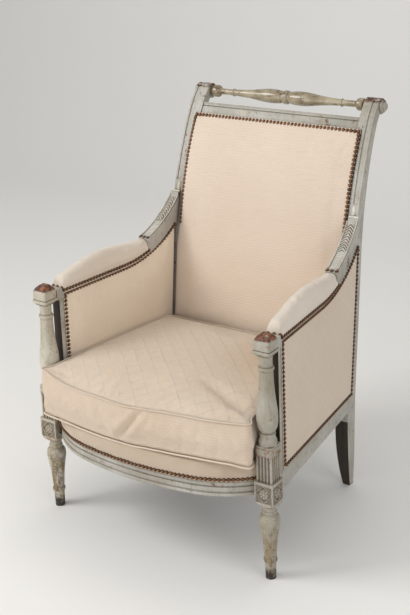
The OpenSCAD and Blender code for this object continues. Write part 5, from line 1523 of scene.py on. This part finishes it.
piping_cloth = woven("cream_cotton_piping", linear(232, 216, 196), linear(220, 200, 176), 0.0, 0.2,
                     rib_pitch=2.2)
for name, lean, thick, node in (("top", 0, 1.7, "cushion_piping_top"),
                                ("bottom", bottom_lean, 2.2, "cushion_piping_bottom")):
    loop = cushion_loop(lean, seam_inset - thick * 0.8)
    path = [place(x, y, seam_height(x, y) + 0.6 if name == "top" else low_seam_height(x, y) - 1.0)
            for x, y in loop]
    cord = tube("cushion_piping_" + name + "_cloth", path, thick * mm, piping_cloth)
    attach(cord, "cushion")
    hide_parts(node)


# Bronze upholstery nails, hammered in close rows that hold the edges of the cloth: round the back,
# along both edges of the arm pads and the arms, up the uprights and the stiles, along the side rails
# and along the bowed front.
bronze = Finish("bronze_nails")
worn = bronze.grain(260, 4, 0.7)
# Painted shade darkens the nails where they lie hidden from the light.
occluded_shade = 1 - bronze.node("AmbientOcclusion", {"samples": 6}, {"Distance": 0.005}, "AO").limit(0.35, 0.95)
rim = bronze.node("Attribute", {"attribute_name": "rim"}, {}, "Fac")
tone = bronze.mix(worn.limit(0.45, 0.66), linear(140, 97, 62), linear(80, 48, 29))
# The rim is near-black: tarnish, and painted shade in the gaps between the nails.
tone = bronze.mix(rim.limit(0.1, 0.8) * 0.94, tone, linear(30, 16, 9))
tone = bronze.mix(occluded_shade * 0.97, tone, linear(34, 22, 14))
bronze.close(tone, 0.36 + worn * 0.2 + rim * 0.3, 0.75 - rim * 0.7, bump=worn, bump_depth=0.0003)


def nail_shape(name, head):
    """A domed upholstery nail with a turned-down rim, marked near-black as tarnish and painted shade."""
    rings = ((head, -0.5), (head, 0.3), (head * 0.86, 0.6), (head * 0.76, 1.5), (head * 0.62, 2.5),
             (head * 0.40, 3.3), (head * 0.17, 3.65))
    around = 12
    points = [(r * math.cos(math.pi * k / 6), r * math.sin(math.pi * k / 6), z) for r, z in rings
              for k in range(around)] + [(0, 0, 3.75), (0, 0, -0.5)]
    rim_tarnish_and_shade = [v for v in (1.0, 1.0, 1.0, 0.7, 0.3, 0.1, 0.0) for k in range(around)] + [0.0, 1.0]
    faces = []
    for low in range(0, around * (len(rings) - 1), around):
        for k in range(around):
            m = (k + 1) % around
            faces.append((low + k, low + m, low + around + m, low + around + k))
    top = around * (len(rings) - 1)
    faces += [(top + k, top + (k + 1) % around, top + around) for k in range(around)]
    faces += [((k + 1) % around, k, top + around + 1) for k in range(around)]
    return pattern_piece(name, points, faces, "rim", rim_tarnish_and_shade)


nail, back_nail = nail_shape("nail_pattern", 4.95), nail_shape("back_nail_pattern", 5.35)
nail_apart, back_nail_apart, nails_uneven = 9.9, 10.0, 0.03
front_row_z, front_nail_out, back_nail_depth = 236.4, 0.7, -3.4
front_nails = [(place(x, y, front_row_z) + way * front_nail_out * mm, way) for x, y, way in
               (bow_place(t / 60, -1.0) for t in range(-59, 60))]


def steps_between(first, last, count, start=0):
    """Values at even steps from the first to the last."""
    return [first + (last - first) * k / count for k in range(start, count + 1)]


def nail_on_back(x, z):
    """A nail's place in front of the back, and the way that it faces."""
    return back_place(x, z, back_nail_depth), back_facing(z)


back_x, back_low, back_high = 234, 604, 868.5
back_rows = [[nail_on_back(-back_x, z) for z in steps_between(back_low, back_high, 60)]
             + [nail_on_back(x, back_high) for x in steps_between(-back_x, back_x, 20, 1)[:-1]]
             + [nail_on_back(back_x, z) for z in steps_between(back_high, back_low, 60)]]


def arm_row(x, row, first, last_y, way):
    """Nails along the arm: level, then up its sweep."""
    radius, level_z = row
    spots = [(y, level_z) for y in steps_between(first, sweep_y, 20)[:-1]]
    last = math.asin((last_y - sweep_y) / radius)
    spots += [(sweep_y + radius * math.sin(last * k / 40), sweep_z - radius * math.cos(last * k / 40))
              for k in range(41)]
    return [(side_place(x, y, z), side_way(way, 0, 0)) for y, z in spots]


low_row, high_row, out_x, in_x = (330, 534), (318.5, 545.5), 14.1, -14.3
outward, inward = side_way(1, 0, 0), side_way(-1, 0, 0)
outside = [arm_row(out_x, low_row, 52, 468, 1), arm_row(16.3, high_row, 46, 345, 1),
           [(side_place(out_x, 52, z), outward) for z in steps_between(249, arm_under, 20)],
           [(side_place(out_x, y, side_edge(y) + 5.1), outward) for y in steps_between(60, 414, 20)],
           [(side_place(out_x, back_line(z) + 4.5, z), outward) for z in steps_between(253.5, back_low, 30)]]
inside = [arm_row(in_x, low_row, 52, 452, -1), arm_row(-18.0, high_row, 46, 345, -1),
          [(side_place(in_x, 52, z), inward) for z in steps_between(284, arm_under, 20)]]
ends = [[(side_place(x, 42.4, 551), side_way(0, -1, 0.1)) for x in steps_between(-14.5, 13.5, 6)],
        [(side_place(x, 348.2, 590.6), side_way(0, -0.32, 0.95)) for x in steps_between(-12.5, 10.5, 6)]]
nails_right = set_along("nails_side_right", outside + inside + ends, nail, nail_apart, bronze.material,
                        nails_uneven)
for piece in (nails_right, mirrored(nails_right, "nails_side_left"),
              set_along("nails_front", [front_nails], nail, nail_apart, bronze.material, nails_uneven),
              set_along("nails_back", back_rows, back_nail, back_nail_apart, bronze.material, nails_uneven)):
    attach(piece, "chair")


# The small patterns have been repeated, so they go.
for pattern in (leaf, reed, bead, nail, back_nail):
    bpy.data.objects.remove(pattern)
